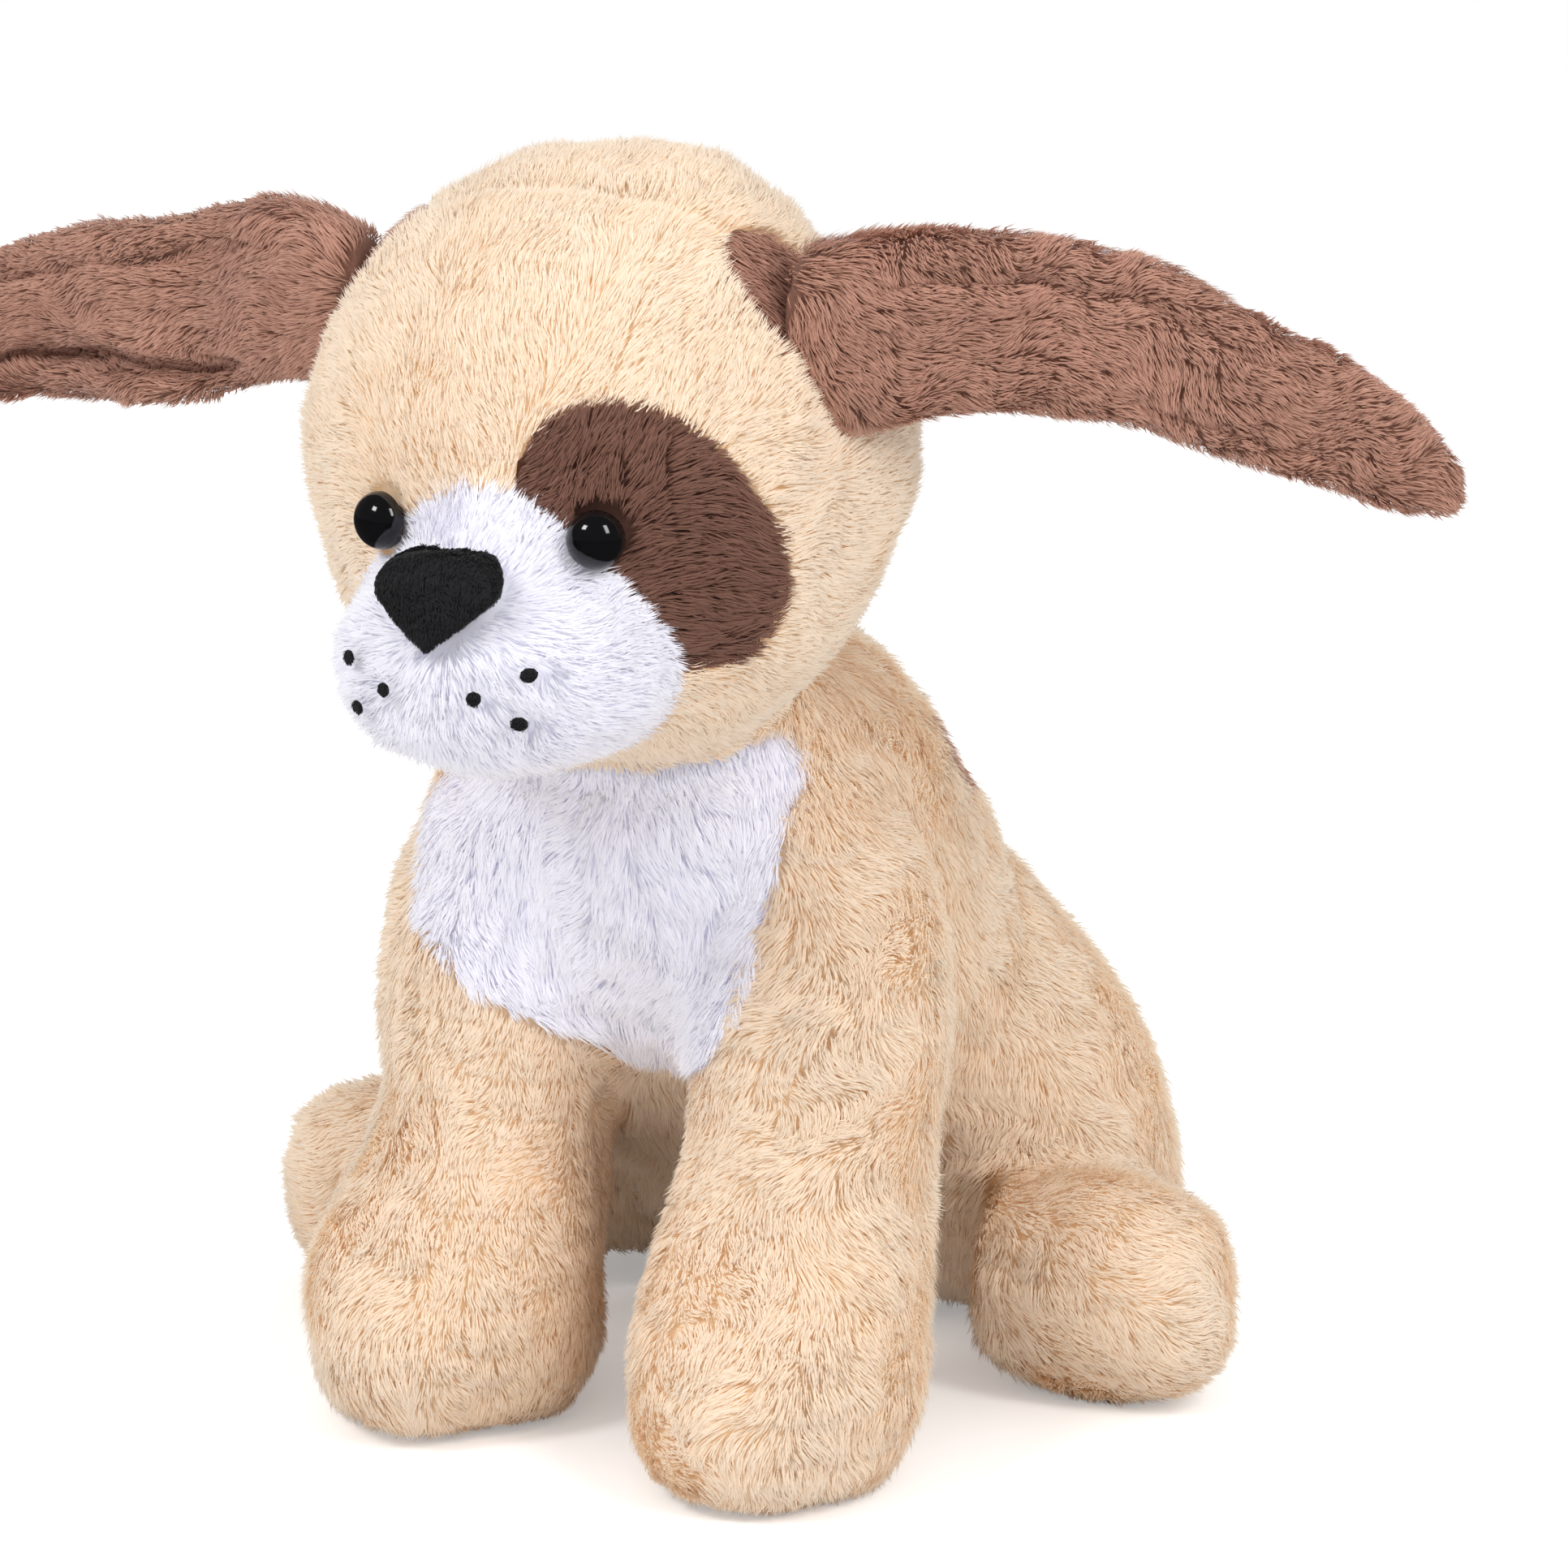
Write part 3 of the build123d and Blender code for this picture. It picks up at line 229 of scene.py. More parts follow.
def merged_copy(name, nodes):
    """A new object with the merged meshes of CAD nodes."""
    form = bmesh.new()
    for node in nodes:
        form.from_mesh(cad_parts[node].data)
    bmesh.ops.remove_doubles(form, verts=form.verts, dist=0.01 * MM)
    mesh = bpy.data.meshes.new(name)
    form.to_mesh(mesh)
    form.free()
    return new_object(name, mesh)


def unit(vectors):
    return vectors / np.maximum(np.linalg.norm(vectors, axis=-1, keepdims=True), 1e-12)


def ramp(x, low, high):
    """0 below low, 1 above high, and smooth between them."""
    t = np.clip((x - low) / (high - low), 0, 1)
    return t * t * (3 - 2 * t)


def ridge(x, middle, width):
    """A smooth ridge, 1 at its middle and 0 beyond about twice its width."""
    return np.exp(-(((x - middle) / width) ** 2))


def waves(points, size, seed):
    """Smooth noise from about -1 to 1 that changes over a size in metres."""
    rng = np.random.default_rng(seed)
    total = np.zeros(len(points))
    for _ in range(7):
        k = unit(rng.normal(size=3)) * 2 * pi / (size * rng.uniform(0.8, 2.2))
        total += np.sin(points @ k + rng.uniform(0, 2 * pi))
    return total / 3


# ---- pile: every strand is a kite of two triangles, from its root past its widest to its tip ----
CLOTH_THICKNESS = 0.8 * MM
# seeds of the roots and of the strands, so that every piece grows in the same way each time
SEEDS = {"coat": (11, 100), "flap": (12, 130), "ear": (20, 200), "stitching": (31, 300)}
Skin = namedtuple("Skin", "points normals triangles")
Roots = namedtuple("Roots", "triangle weights points normals")
# Length, tuft size and strand width in mm. Lift is 1 for pile that stands up and 0 for pile that
# lies flat, pull gathers a tuft's tips, and tousle turns the pile this way and that.
Style = namedtuple("Style", "length lift tuft pull tousle width")
CELL_PRIMES = (73856093, 19349663, 83492791)  # they turn a cell's three numbers into one


def skin_of(mesh):
    mesh.calc_loop_triangles()
    count = len(mesh.vertices)
    points = np.empty(count * 3)
    mesh.vertices.foreach_get("co", points)
    normals = np.empty(count * 3)
    mesh.vertices.foreach_get("normal", normals)
    triangles = np.empty(len(mesh.loop_triangles) * 3, np.int32)
    mesh.loop_triangles.foreach_get("vertices", triangles)
    return Skin(points.reshape(-1, 3), normals.reshape(-1, 3), triangles.reshape(-1, 3))


def scattered(skin, per_mm2, rng):
    """Random roots over a skin, with a density for each of its points."""
    a, b, c = (skin.points[skin.triangles[:, k]] for k in range(3))
    area = np.linalg.norm(np.cross(b - a, c - a), axis=1) / 2
    expected = area / MM**2 * per_mm2[skin.triangles].mean(1)
    counts = np.floor(expected + rng.random(len(area))).astype(int)
    triangle = np.repeat(np.arange(len(area)), counts)
    r = np.sqrt(rng.random(len(triangle)))
    s = rng.random(len(triangle))
    weights = np.stack([1 - r, r * (1 - s), r * s], 1)
    roots = Roots(triangle, weights, None, None)
    points = spread_over(roots, skin, skin.points)
    return roots._replace(points=points, normals=unit(spread_over(roots, skin, skin.normals)))


def spread_over(roots, skin, values):
    """Values of a skin's points at the roots."""
    corners = values[skin.triangles[roots.triangle]]
    weights = roots.weights.reshape(roots.weights.shape + (1,) * (values.ndim - 1))
    return (corners * weights).sum(1)


def picked(roots, keep):
    return Roots(*(part[keep] for part in roots))


def tangent(vectors, normals):
    return unit(vectors - normals * (vectors * normals).sum(1, keepdims=True))


def gathered(values, group, count):
    """Mean of the values of each group, given back to every member."""
    total = np.zeros((count, values.shape[1]))
    for k in range(values.shape[1]):
        total[:, k] = np.bincount(group, values[:, k], count)
    return (total / np.bincount(group, minlength=count)[:, None])[group]


def clumps(points, size, seed):
    """Number each point by the tuft that it belongs to, with tufts of about that size."""
    shift = np.stack([waves(points, 4 * size, seed + k) for k in range(3)], 1)
    cells = np.floor(points / size + 0.6 * shift).astype(np.int64)
    a, b, c = (cells * CELL_PRIMES).T
    keys = a ^ b ^ c
    _, group = np.unique(keys, return_inverse=True)
    return group


def pile(roots, lie, style, seed, pale=0):
    """Strands of pile: four points each, their normals, and a shade from 0 to 1."""
    rng = np.random.default_rng(seed)
    count = len(roots.points)
    points, normals = roots.points, roots.normals
    # the lie wanders in wide swirls and in small ones
    across = np.cross(normals, lie)
    swirls = 0.9 * waves(points, 0.03, seed + 1) + 0.7 * waves(points, 0.009, seed + 2)
    turn = style.tousle * swirls
    lie = unit(lie * np.cos(turn)[:, None] + across * np.sin(turn)[:, None])
    random = rng.normal(size=(count, 3))
    lift = style.lift * (1 + 0.25 * waves(points, 0.02, seed + 3))[:, None]
    uneven = rng.uniform(0.72, 1.15, count) * (1 + 0.1 * waves(points, 0.015, seed + 4))
    length = (style.length * MM * uneven)[:, None]
    start = unit(normals * lift + lie * (1 - lift) + 0.16 * random)
    bend = unit(normals * lift * 0.4 + lie * (1 - lift * 0.4) + 0.22 * random)
    middle = points + start * length * 0.5
    tip = middle + bend * length * 0.5
    # pale lightens or darkens a strand's tone: on the ears a painted highlight on a rim's lip and
    # painted shade in the grooves
    shade = 0.5 + pale + 0.08 * waves(points, 0.03, seed + 5)
    # the strands of a tuft lean together, and the tufts of a lock a little
    around = np.zeros_like(points)
    tuft = style.tuft * MM
    for size, pull in ((tuft, style.pull), (2.6 * tuft, 0.6 * style.pull)):
        group = clumps(points, size, seed + int(size / MM * 10))
        groups = group.max() + 1
        near_tip = gathered(tip, group, groups)
        near_middle = gathered(middle, group, groups)
        around += (tip - near_tip) / size
        tip = tip + (near_tip - tip) * pull
        middle = middle + (near_middle - middle) * pull * 0.45
        shade = shade + 0.06 * rng.normal(size=groups)[group]
    shade = np.clip(shade + 0.07 * rng.normal(size=count), 0.02, 0.98)
    # each strand is flat, with its broad side outwards
    along = unit(tip - points)
    side = unit(np.cross(along, normals) + 0.2 * random) * (style.width * MM / 2)
    corners = np.stack([points, middle - side, middle + side, tip], 1)
    corners[..., 2] = np.maximum(corners[..., 2], FLOOR_GAP)
    face = np.cross(tip - points, corners[:, 2] - corners[:, 1])
    flip = (face * normals).sum(1) < 0
    corners[flip] = corners[flip][:, [0, 2, 1, 3]]
    shading = unit(normals + 0.16 * around + 0.05 * random)
    return corners, np.repeat(shading[:, None], 4, 1), shade


def furred(name, cloth, strands, material):
    """One piece: backing cloth and its strands. Its map holds shade across and root to tip up."""
    points, faces = cloth
    corners, normals, shade = strands or (np.zeros((0, 4, 3)), np.zeros((0, 4, 3)), np.zeros(0))
    base = len(points)
    count = len(corners)
    kite = np.array([[0, 1, 2], [1, 3, 2]])
    kites = (base + 4 * np.arange(count)[:, None, None] + kite).reshape(-1, 3)
    triangles = np.concatenate([faces, kites]).astype(np.int32)
    mesh = bpy.data.meshes.new(name)
    mesh.vertices.add(base + 4 * count)
    every_point = np.concatenate([points, corners.reshape(-1, 3)])
    mesh.vertices.foreach_set("co", every_point.astype(np.float32).ravel())
    mesh.loops.add(triangles.size)
    mesh.loops.foreach_set("vertex_index", triangles.ravel())
    mesh.polygons.add(len(triangles))
    mesh.polygons.foreach_set("loop_start", np.arange(0, triangles.size, 3, dtype=np.int32))
    mesh.update(calc_edges=True)
    mesh.polygons.foreach_set("use_smooth", np.ones(len(triangles), bool))
    # on the map the cloth lies beside the roots, so that it takes their painted shade
    cloth_map = np.tile([[0.3, 0.004], [0.7, 0.004], [0.5, 0.018]], (len(faces), 1))
    v_root, v_middle, v_tip = (np.full(count, v) for v in (0.02, 0.5, 0.99))
    root = np.stack([shade, v_root], 1)
    left = np.stack([shade - 0.012, v_middle], 1)
    right = np.stack([shade + 0.012, v_middle], 1)
    tip = np.stack([shade, v_tip], 1)
    strand_map = np.stack([root, left, right, left, tip, right], 1).reshape(-1, 2)
    layer = mesh.uv_layers.new(name="OFBake")
    layer.data.foreach_set("uv", np.concatenate([cloth_map, strand_map]).astype(np.float32).ravel())
    mesh.materials.append(material)
    given = np.concatenate([skin_normals(points, faces), normals.reshape(-1, 3)])
    mesh.normals_split_custom_set_from_vertices(given.astype(np.float32))
    return new_object(name, mesh)


def joined(first, second):
    """Two cloths as one."""
    points = np.concatenate([first[0], second[0]])
    return points, np.concatenate([first[1], second[1] + len(first[0])])


def skin_normals(points, faces):
    a, b, c = (points[faces[:, k]] for k in range(3))
    face = np.cross(b - a, c - a)
    normals = np.zeros_like(points)
    for k in range(3):
        for axis in range(3):
            normals[:, axis] += np.bincount(faces[:, k], face[:, axis], len(points))
    return unit(normals)


def backing(skin, keep):
    """Backing cloth of one panel, closed, from the skin's triangles that it takes."""
    triangles = skin.triangles[keep]
    used, index = np.unique(triangles, return_inverse=True)
    index = index.reshape(-1, 3)
    count = len(used)
    outer = skin.points[used]
    inner = outer - skin.normals[used] * CLOTH_THICKNESS
    edges = np.concatenate([index[:, [0, 1]], index[:, [1, 2]], index[:, [2, 0]]])
    key = np.sort(edges, 1) @ np.array([count, 1])
    _, first, times = np.unique(key, return_index=True, return_counts=True)
    rim = edges[first[times == 1]]
    a, b = rim[:, 0], rim[:, 1]
    walls = np.concatenate([np.stack([b, a, a + count], 1), np.stack([b, a + count, b + count], 1)])
    faces = np.concatenate([index, index[:, ::-1] + count, walls])
    return np.concatenate([outer, inner]), faces


# ---- the coat ----
PANELS = {
    "body": "cream",
    "back_spot": "brown",
    "chest_bib": "white",
    "head": "cream",
    "eye_patch": "patch",
    "muzzle": "white",
    "front_leg_left": "cream",
    "front_leg_right": "cream",
    "haunch_left": "cream",
    "haunch_right": "cream",
    "hind_foot_left": "cream",
    "hind_foot_right": "cream",
    "tail": "cream",
}
STYLES = {
    "body": Style(7.2, 0.5, 3.4, 0.3, 0.95, 0.36),
    "back_spot": Style(6.8, 0.5, 3.2, 0.34, 0.8, 0.36),
    "chest_bib": Style(8, 0.5, 3.6, 0.36, 0.8, 0.36),
    "head": Style(5.8, 0.6, 2.4, 0.26, 0.5, 0.34),
    "eye_patch": Style(6.4, 0.52, 2.6, 0.42, 0.5, 0.36),
    "muzzle": Style(6.2, 0.58, 2.4, 0.24, 0.5, 0.33),
    "leg": Style(7, 0.52, 3.2, 0.3, 0.9, 0.36),
    "ear": Style(4.8, 0.5, 2.4, 0.36, 0.7, 0.36),
    "ear_bases": Style(5, 0.5, 2.4, 0.36, 0.7, 0.36),
}
DENSITY = 3.8  # strands on a square millimetre
SKIN_VOXEL = 3 * MM
HEAD_FILL = 0.985  # the filler's share of the head's size
PILE_DEPTH = 5 * MM  # from the tips of the pile to its backing cloth
DEPTH_EASE = (0.5 * MM, 6 * MM)  # from the flap's outline to where that starts and is reached
SEAT_PRESS = 0.8  # share of that where it stands on the floor
LEAST_LENGTH = 0.35  # share of its length that pile keeps where it has no depth
SEAM_WIDTH = 1.8 * MM
LINING_REACH = 1.3 * MM  # how far the pocket's lining reaches past the flap
FLAP_CLEAR = 0.6 * MM  # between the flap's outline and the tips round it
LUMP_SIZE = 40 * MM
LUMP_DEPTH = 1.7 * MM
LUMP_EASE = (2 * MM, 14 * MM)  # from the flap's outline to where the lumps start and are full
LUMP_FRONT = (-160 * MM, -130 * MM)  # and from the face
FLOOR_GAP = 0.4 * MM  # strands that would reach the floor are pressed flat above it


def box_coordinates(points):
    """Across, up the back and out of it, from the middle of the battery door."""
    return (points - np.array(BOX_CENTRE)) @ np.stack([BOX_ACROSS, BOX_UP, BOX_OUT], 1)


def beyond_flap(points):
    """Distance outside the flap's outline, negative inside it, and large away from the back."""
    local = box_coordinates(points)
    half = np.array(FLAP_HALF) - FLAP_CORNER
    q = np.abs(local[:, :2] - np.array([0, FLAP_MIDDLE])) - half
    outside = np.linalg.norm(np.maximum(q, 0), axis=1) + np.minimum(q.max(1), 0) - FLAP_CORNER
    behind = points[:, 1] > BOX_CENTRE.y - BOX_REACH
    return np.where(behind, outside, 1.0)


def away(points, centre):
    return points - np.array(centre)


def lie_of(panel, points):
    """Direction that the pile of a panel lies in."""
    down = np.array([0.0, 0.0, -1.0])
    side = 1 if panel.endswith("left") else -1
    if panel == "muzzle":
        return unit(away(points, NOSE_CENTRE))
    if panel in ("head", "eye_patch"):
        back = ramp(points[:, 1], -120 * MM, -70 * MM)[:, None]
        from_face = unit(away(points, CROWN_PARTING))
        return unit(from_face * (1 - back) + (down + [0, 0.3, 0]) * back)
    if panel == "ear_bases":
        return unit(np.sign(points[:, :1]) * [[1.0, 0, 0]] + [[0, 0, -0.35]])
    if panel == "tail":
        return np.tile([0.0, cos(TAIL_RISE), sin(TAIL_RISE)], (len(points), 1))
    if panel.startswith("hind_foot"):
        return np.tile(unit(np.array([side, -0.15, -0.5])), (len(points), 1))
    if panel.startswith("haunch"):
        return np.tile(unit(np.array([side * 0.45, 0.1, -1])), (len(points), 1))
    if panel.startswith("front_leg"):
        low = ramp(-points[:, 2], -45 * MM, -15 * MM)[:, None]
        spread = unit(points - PAW_PARTING * [side, 1, 1])
        return unit((down + [0, -0.15, 0]) + 0.9 * low * spread)
    spread = points[:, :1] * np.array([[6.0, 0, 0]])
    return unit(down + [0, 0.05, 0] + spread)


def eye_place(side):
    """Middle of an eye's rim and the direction that it looks in."""
    x, z = EYE_OUT / HEAD_HALF.x, (EYE_HEIGHT - HEAD_CENTRE.z) / HEAD_HALF.z
    y = -((1 - x * x - z * z) ** 0.5)
    spot = Vector((EYE_OUT, HEAD_CENTRE.y + y * HEAD_HALF.y, EYE_HEIGHT))
    out = Vector((x / HEAD_HALF.x, y / HEAD_HALF.y, z / HEAD_HALF.z)).normalized()
    spot -= out * EYE_SUNK
    return Vector((side * spot.x, spot.y, spot.z)), Vector((side * out.x, out.y, out.z))


def nose_half(height):
    """Half width of the nose at a height from -1 at its tip to 1 at its top."""
    up = np.clip((height - NOSE_WIDEST) / (1 - NOSE_WIDEST), 0, 1)
    down = np.clip((NOSE_WIDEST - height) / (1 + NOSE_WIDEST), 0, 1)
    return NOSE_HALF[0] * np.where(up > 0, (1 - up**2.5) ** 0.4, 1 - down**1.15)


def bare(points):
    """Where no pile grows: under the eyes, the nose and the freckles."""
    covered = np.zeros(len(points), bool)
    front = points[:, 1] < FACE_BACK
    for side in (-1, 1):
        spot, out = eye_place(side)
        offset = points - np.array(spot)
        flat = offset - (offset @ np.array(out))[:, None] * np.array(out)
        covered |= front & (np.linalg.norm(flat, axis=1) < EYE_RADIUS - EYE_LAP)
        for x, z in FRECKLES:
            gap = np.hypot(points[:, 0] - side * x * MM, points[:, 2] - z * MM)
            covered |= front & (gap < FRECKLE_BARE)
    height = (points[:, 2] - NOSE_CENTRE.z) / NOSE_HALF[1]
    across = np.abs(points[:, 0]) < nose_half(height) - NOSE_LAP
    nose = across & (np.abs(height) < NOSE_BARE)
    return covered | (front & (points[:, 1] < NOSE_BACK) & nose)


def on_bib(points):
    """Inside the white patch's outline, which leans a little towards the left leg at its tip."""
    share = np.clip((points[:, 2] - BIB_TIP) / (BIB_SIDE - BIB_TIP), 0, 1)
    middle = BIB_LEAN[1] + (BIB_LEAN[0] - BIB_LEAN[1]) * share
    inside = np.abs(points[:, 0] - middle) < BIB_HALF * share**0.55
    return inside & (points[:, 1] < BIB_BACK) & (points[:, 2] < BIB_TOP)


def on_bridge(points):
    """Inside the rounded top of the white muzzle, between the eyes."""
    heights, halves = (np.array(values) * MM for values in zip(*BRIDGE))
    return np.abs(points[:, 0]) < np.interp(points[:, 2], heights, halves, right=-1.0)


def on_ear_base(points):
    """Inside the brown round an ear's root."""
    gap = np.hypot(points[:, 1] - EAR_BASE.y, points[:, 2] - EAR_BASE.z)
    return (gap < EAR_BASE_RADIUS) & (np.abs(points[:, 0]) > EAR_BASE_START)


def on_gusset(points):
    """How far inside the inner panel of a front leg: above 0 on it, 0 on its seam down the shin."""
    inside = GUSSET_HALF + GUSSET_GROWTH * points[:, 2] - np.abs(points[:, 0])
    return np.where((points[:, 1] < GUSSET_BACK) & (points[:, 2] < GUSSET_TOP), inside, -1.0)


def seam_gap(panel, points):
    """Distance from a sewn seam that parts the pile of a panel."""
    if panel.startswith("front_leg"):
        return np.abs(on_gusset(points))
    if panel == "head":
        over = points[:, 1] - (SEAM_FRONT + SEAM_SLOPE * (SEAM_CROWN - points[:, 2]))
        return np.where(points[:, 2] > SEAM_LOW, np.abs(over), 1.0)
    return np.ones(len(points))


def pushed_aside(points, normals, lie):
    """Pile beside the eyes, the nose and the freckles leans away from them."""
    places = [(NOSE_CENTRE, *NOSE_LEAN, 1)]
    for side in (-1, 1):
        places.append((eye_place(side)[0], *EYE_LEAN, 1))
        for x, z in FRECKLES:
            places.append((Vector((side * x * MM, 0, z * MM)), *FRECKLE_LEAN, 0))
    for centre, reach, strength, depth in places:
        offset = away(points, centre) * [1, depth, 1]
        gap = np.linalg.norm(offset, axis=1)
        lie = lie + unit(offset) * (strength * ramp(-gap, -reach, -0.4 * reach))[:, None]
    return tangent(lie, normals)


def stuffed_body():
    """The whole sewn body in one skin, with the ear slots in the head filled."""
    form = merged_copy("coat_form", PANELS)
    bpy.ops.object.select_all(action="DESELECT")
    bpy.ops.mesh.primitive_uv_sphere_add(segments=48, ring_count=32, radius=1, location=HEAD_CENTRE)
    filler = bpy.context.active_object
    filler.scale = HEAD_HALF * HEAD_FILL
    form.select_set(True)
    bpy.context.view_layer.objects.active = form
    bpy.ops.object.join()
    shaped(form, "REMESH", mode="VOXEL", voxel_size=SKIN_VOXEL, use_smooth_shade=True)
    shaped(form, "SMOOTH", factor=0.5, iterations=4)
    places = [(v.index, v.co) for v in form.data.vertices]
    on_feet = [index for index, co in places if abs(co.x) > FOOT_START and co.z < FOOT_TOP]
    form.vertex_groups.new(name="hind_feet").add(on_feet, 1, "REPLACE")
    shaped(form, "SMOOTH", factor=0.5, iterations=FOOT_ROUNDING, vertex_group="hind_feet")
    return form


def stuffed(skin, gap):
    """The skin with the uneven lumps of stuffing, but not beside the flap or on the face."""
    free = ramp(gap, *LUMP_EASE) * ramp(skin.points[:, 1], *LUMP_FRONT)
    lumps = LUMP_DEPTH * waves(skin.points, LUMP_SIZE, 7) * free
    points = skin.points + skin.normals * lumps[:, None]
    return skin._replace(points=points, normals=skin_normals(points, skin.triangles))


def nearest_distances(points, names):
    """Distance from every point to each of the CAD nodes."""
    found = []
    for name in names:
        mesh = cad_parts[name].data
        corners = [vertex.co for vertex in mesh.vertices]
        tree = BVHTree.FromPolygons(corners, [face.vertices for face in mesh.polygons])
        found.append([tree.find_nearest(point)[3] for point in points])
    return np.array(found).T


def panels_of(points, distances):
    """Index of the panel that each point belongs to. The brown round the ears' roots comes last."""
    place = {name: index for index, name in enumerate(PANELS)}
    panel = distances.argmin(1)
    beside = ("body", "front_leg_left", "front_leg_right", "chest_bib")
    sewn = np.isin(panel, [place[name] for name in beside])
    cream = np.where(panel == place["chest_bib"], place["body"], panel)
    coloured = np.where(on_bib(points) & sewn, place["chest_bib"], cream)
    face = np.isin(panel, [place[name] for name in ("head", "eye_patch", "muzzle")])
    bridge = face & (points[:, 1] < FACE_BACK) & (points[:, 2] > BRIDGE[0][0] * MM)
    above = np.where(panel == place["muzzle"], place["head"], coloured)
    white = np.where(on_bridge(points), place["muzzle"], above)
    coloured = np.where(bridge, white, coloured)
    return np.where(face & on_ear_base(points), len(place), coloured)


def flap_fold():
    """The sewn fold that the flap hangs on: a closed roll of cloth along its top edge."""
    reach = FLAP_HALF[0] - FLAP_CORNER
    turn = np.arange(FOLD_SIDES) * 2 * pi / FOLD_SIDES
    ring = np.array(FOLD_PLACE) + FOLD_RADIUS * np.stack([np.cos(turn), np.sin(turn)], 1)
    outline = np.concatenate([ring, [FOLD_PLACE]])
    local = np.concatenate([np.insert(outline, 0, across, axis=1) for across in (-reach, reach)])
    points = local @ np.array([BOX_ACROSS, BOX_UP, BOX_OUT]) + np.array(BOX_CENTRE)
    near = np.arange(FOLD_SIDES)
    following = (near + 1) % FOLD_SIDES
    middle = np.full(FOLD_SIDES, FOLD_SIDES)
    far = FOLD_SIDES + 1
    sides = [[near, following, following + far], [near, following + far, near + far]]
    ends = [[following, near, middle], [near + far, following + far, middle + far]]
    return points, np.concatenate([np.stack(face, 1) for face in sides + ends])


def length_of(style, pile_settings, room):
    """Length of pile in mm, less where it has less than its full depth."""
    return style.length * pile_settings.length * (LEAST_LENGTH + (1 - LEAST_LENGTH) * room)


def panel_strands(name, roots, room, seed, pile_settings):
    """Strands of one panel, shorter beside its seams and inside the legs."""
    style = STYLES.get(name, STYLES["leg"])
    parted = 1 - 0.5 * ridge(seam_gap(name, roots.points), 0, SEAM_WIDTH)
    inner = ramp(on_gusset(roots.points), 0, 3 * MM) if name.startswith("front_leg") else 0
    length = length_of(style, pile_settings, room) * parted * (1 - 0.3 * inner)
    lie = pushed_aside(roots.points, roots.normals, lie_of(name, roots.points))
    return pile(roots, lie, style._replace(length=length), seed, pale=-0.1 * inner)


def make_coat(pile_settings):
    """A piece for each panel, the brown round the ears' roots, and the battery pocket's lining."""
    form = stuffed_body()
    skin = skin_of(form.data)
    distances = nearest_distances(skin.points, PANELS)
    gap = beyond_flap(skin.points)
    skin = stuffed(skin, gap)
    lining = gap < LINING_REACH
    depth = PILE_DEPTH * ramp(gap, *DEPTH_EASE)
    depth = np.where(skin.points[:, 2] < PILE_DEPTH, depth * SEAT_PRESS, depth)
    cloth = skin._replace(points=skin.points - skin.normals * depth[:, None])
    density = np.where(lining, 0.0, DENSITY * pile_settings.density)
    root_seed, pile_seed = SEEDS["coat"]
    roots = scattered(cloth, density, np.random.default_rng(root_seed))
    tips = roots.points + roots.normals * spread_over(roots, cloth, depth)[:, None]
    roots = picked(roots, ~bare(tips) & (beyond_flap(tips) > FLAP_CLEAR))
    root_panel = panels_of(roots.points, spread_over(roots, cloth, distances))
    room = spread_over(roots, cloth, depth) / PILE_DEPTH
    centres = cloth.points[cloth.triangles].mean(1)
    face_panel = panels_of(centres, distances[cloth.triangles].mean(1))
    lined = lining[cloth.triangles].all(1)
    looks = {**PANELS, "ear_bases": "brown"}
    for index, (name, look) in enumerate(looks.items()):
        chosen = root_panel == index
        mine = picked(roots, chosen)
        strands = panel_strands(name, mine, room[chosen], pile_seed + index, pile_settings)
        panel_cloth = backing(cloth, (face_panel == index) & ~lined)
        piece = furred(f"{name}_pile", panel_cloth, strands, pile_material(look))
        if name in PANELS:
            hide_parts(name)
        finish_soft(piece, "puppy")
    pocket = joined(backing(cloth, lined), flap_fold())
    piece = furred("battery_pocket", pocket, None, pile_material("lining"))
    finish_soft(piece, "puppy")
    bpy.data.objects.remove(form)


def finish_soft(piece, body, blend=None):
    if blend:
        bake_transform(piece)
    else:
        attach(piece, body)


def make_flap(pile_settings):
    """The flap in the back, furred outside and plain inside."""
    form = merged_copy("flap_form", ["access_flap"])
    shaped(form, "REMESH", mode="VOXEL", voxel_size=FLAP_VOXEL, use_smooth_shade=True)
    shaped(form, "SMOOTH", factor=0.5, iterations=2)
    skin = skin_of(form.data)
    facing = ramp(skin.normals @ np.array(BOX_OUT), 0.2, 0.6)
    outer = facing * (box_coordinates(skin.points)[:, 2] > FLAP_INSIDE)
    depth = PILE_DEPTH * outer * ramp(-beyond_flap(skin.points), 0.0, 5 * MM)
    cloth = skin._replace(points=skin.points - skin.normals * depth[:, None])
    density = DENSITY * pile_settings.density * (outer > 0.5)
    root_seed, pile_seed = SEEDS["flap"]
    roots = scattered(cloth, density, np.random.default_rng(root_seed))
    room = spread_over(roots, cloth, depth) / PILE_DEPTH
    style = STYLES["body"]
    style = style._replace(length=length_of(style, pile_settings, room))
    lie = tangent(lie_of("body", roots.points), roots.normals)
    strands = pile(roots, lie, style, pile_seed)
    sheet = (cloth.points, cloth.triangles)
    piece = furred("access_flap_pile", sheet, strands, pile_material("cream"))
    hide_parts("access_flap")
    finish_soft(piece, "access_flap")
    bpy.data.objects.remove(form)


# ---- ears ----
def ear_section(side, along):
    """Middle height, half width and half thickness at a distance from the ear's hinge, in mm."""
    table = np.array(EAR_LEVELS[side], float)
    return [np.interp(along, table[:, 0], table[:, k]) for k in (1, 2, 3)]


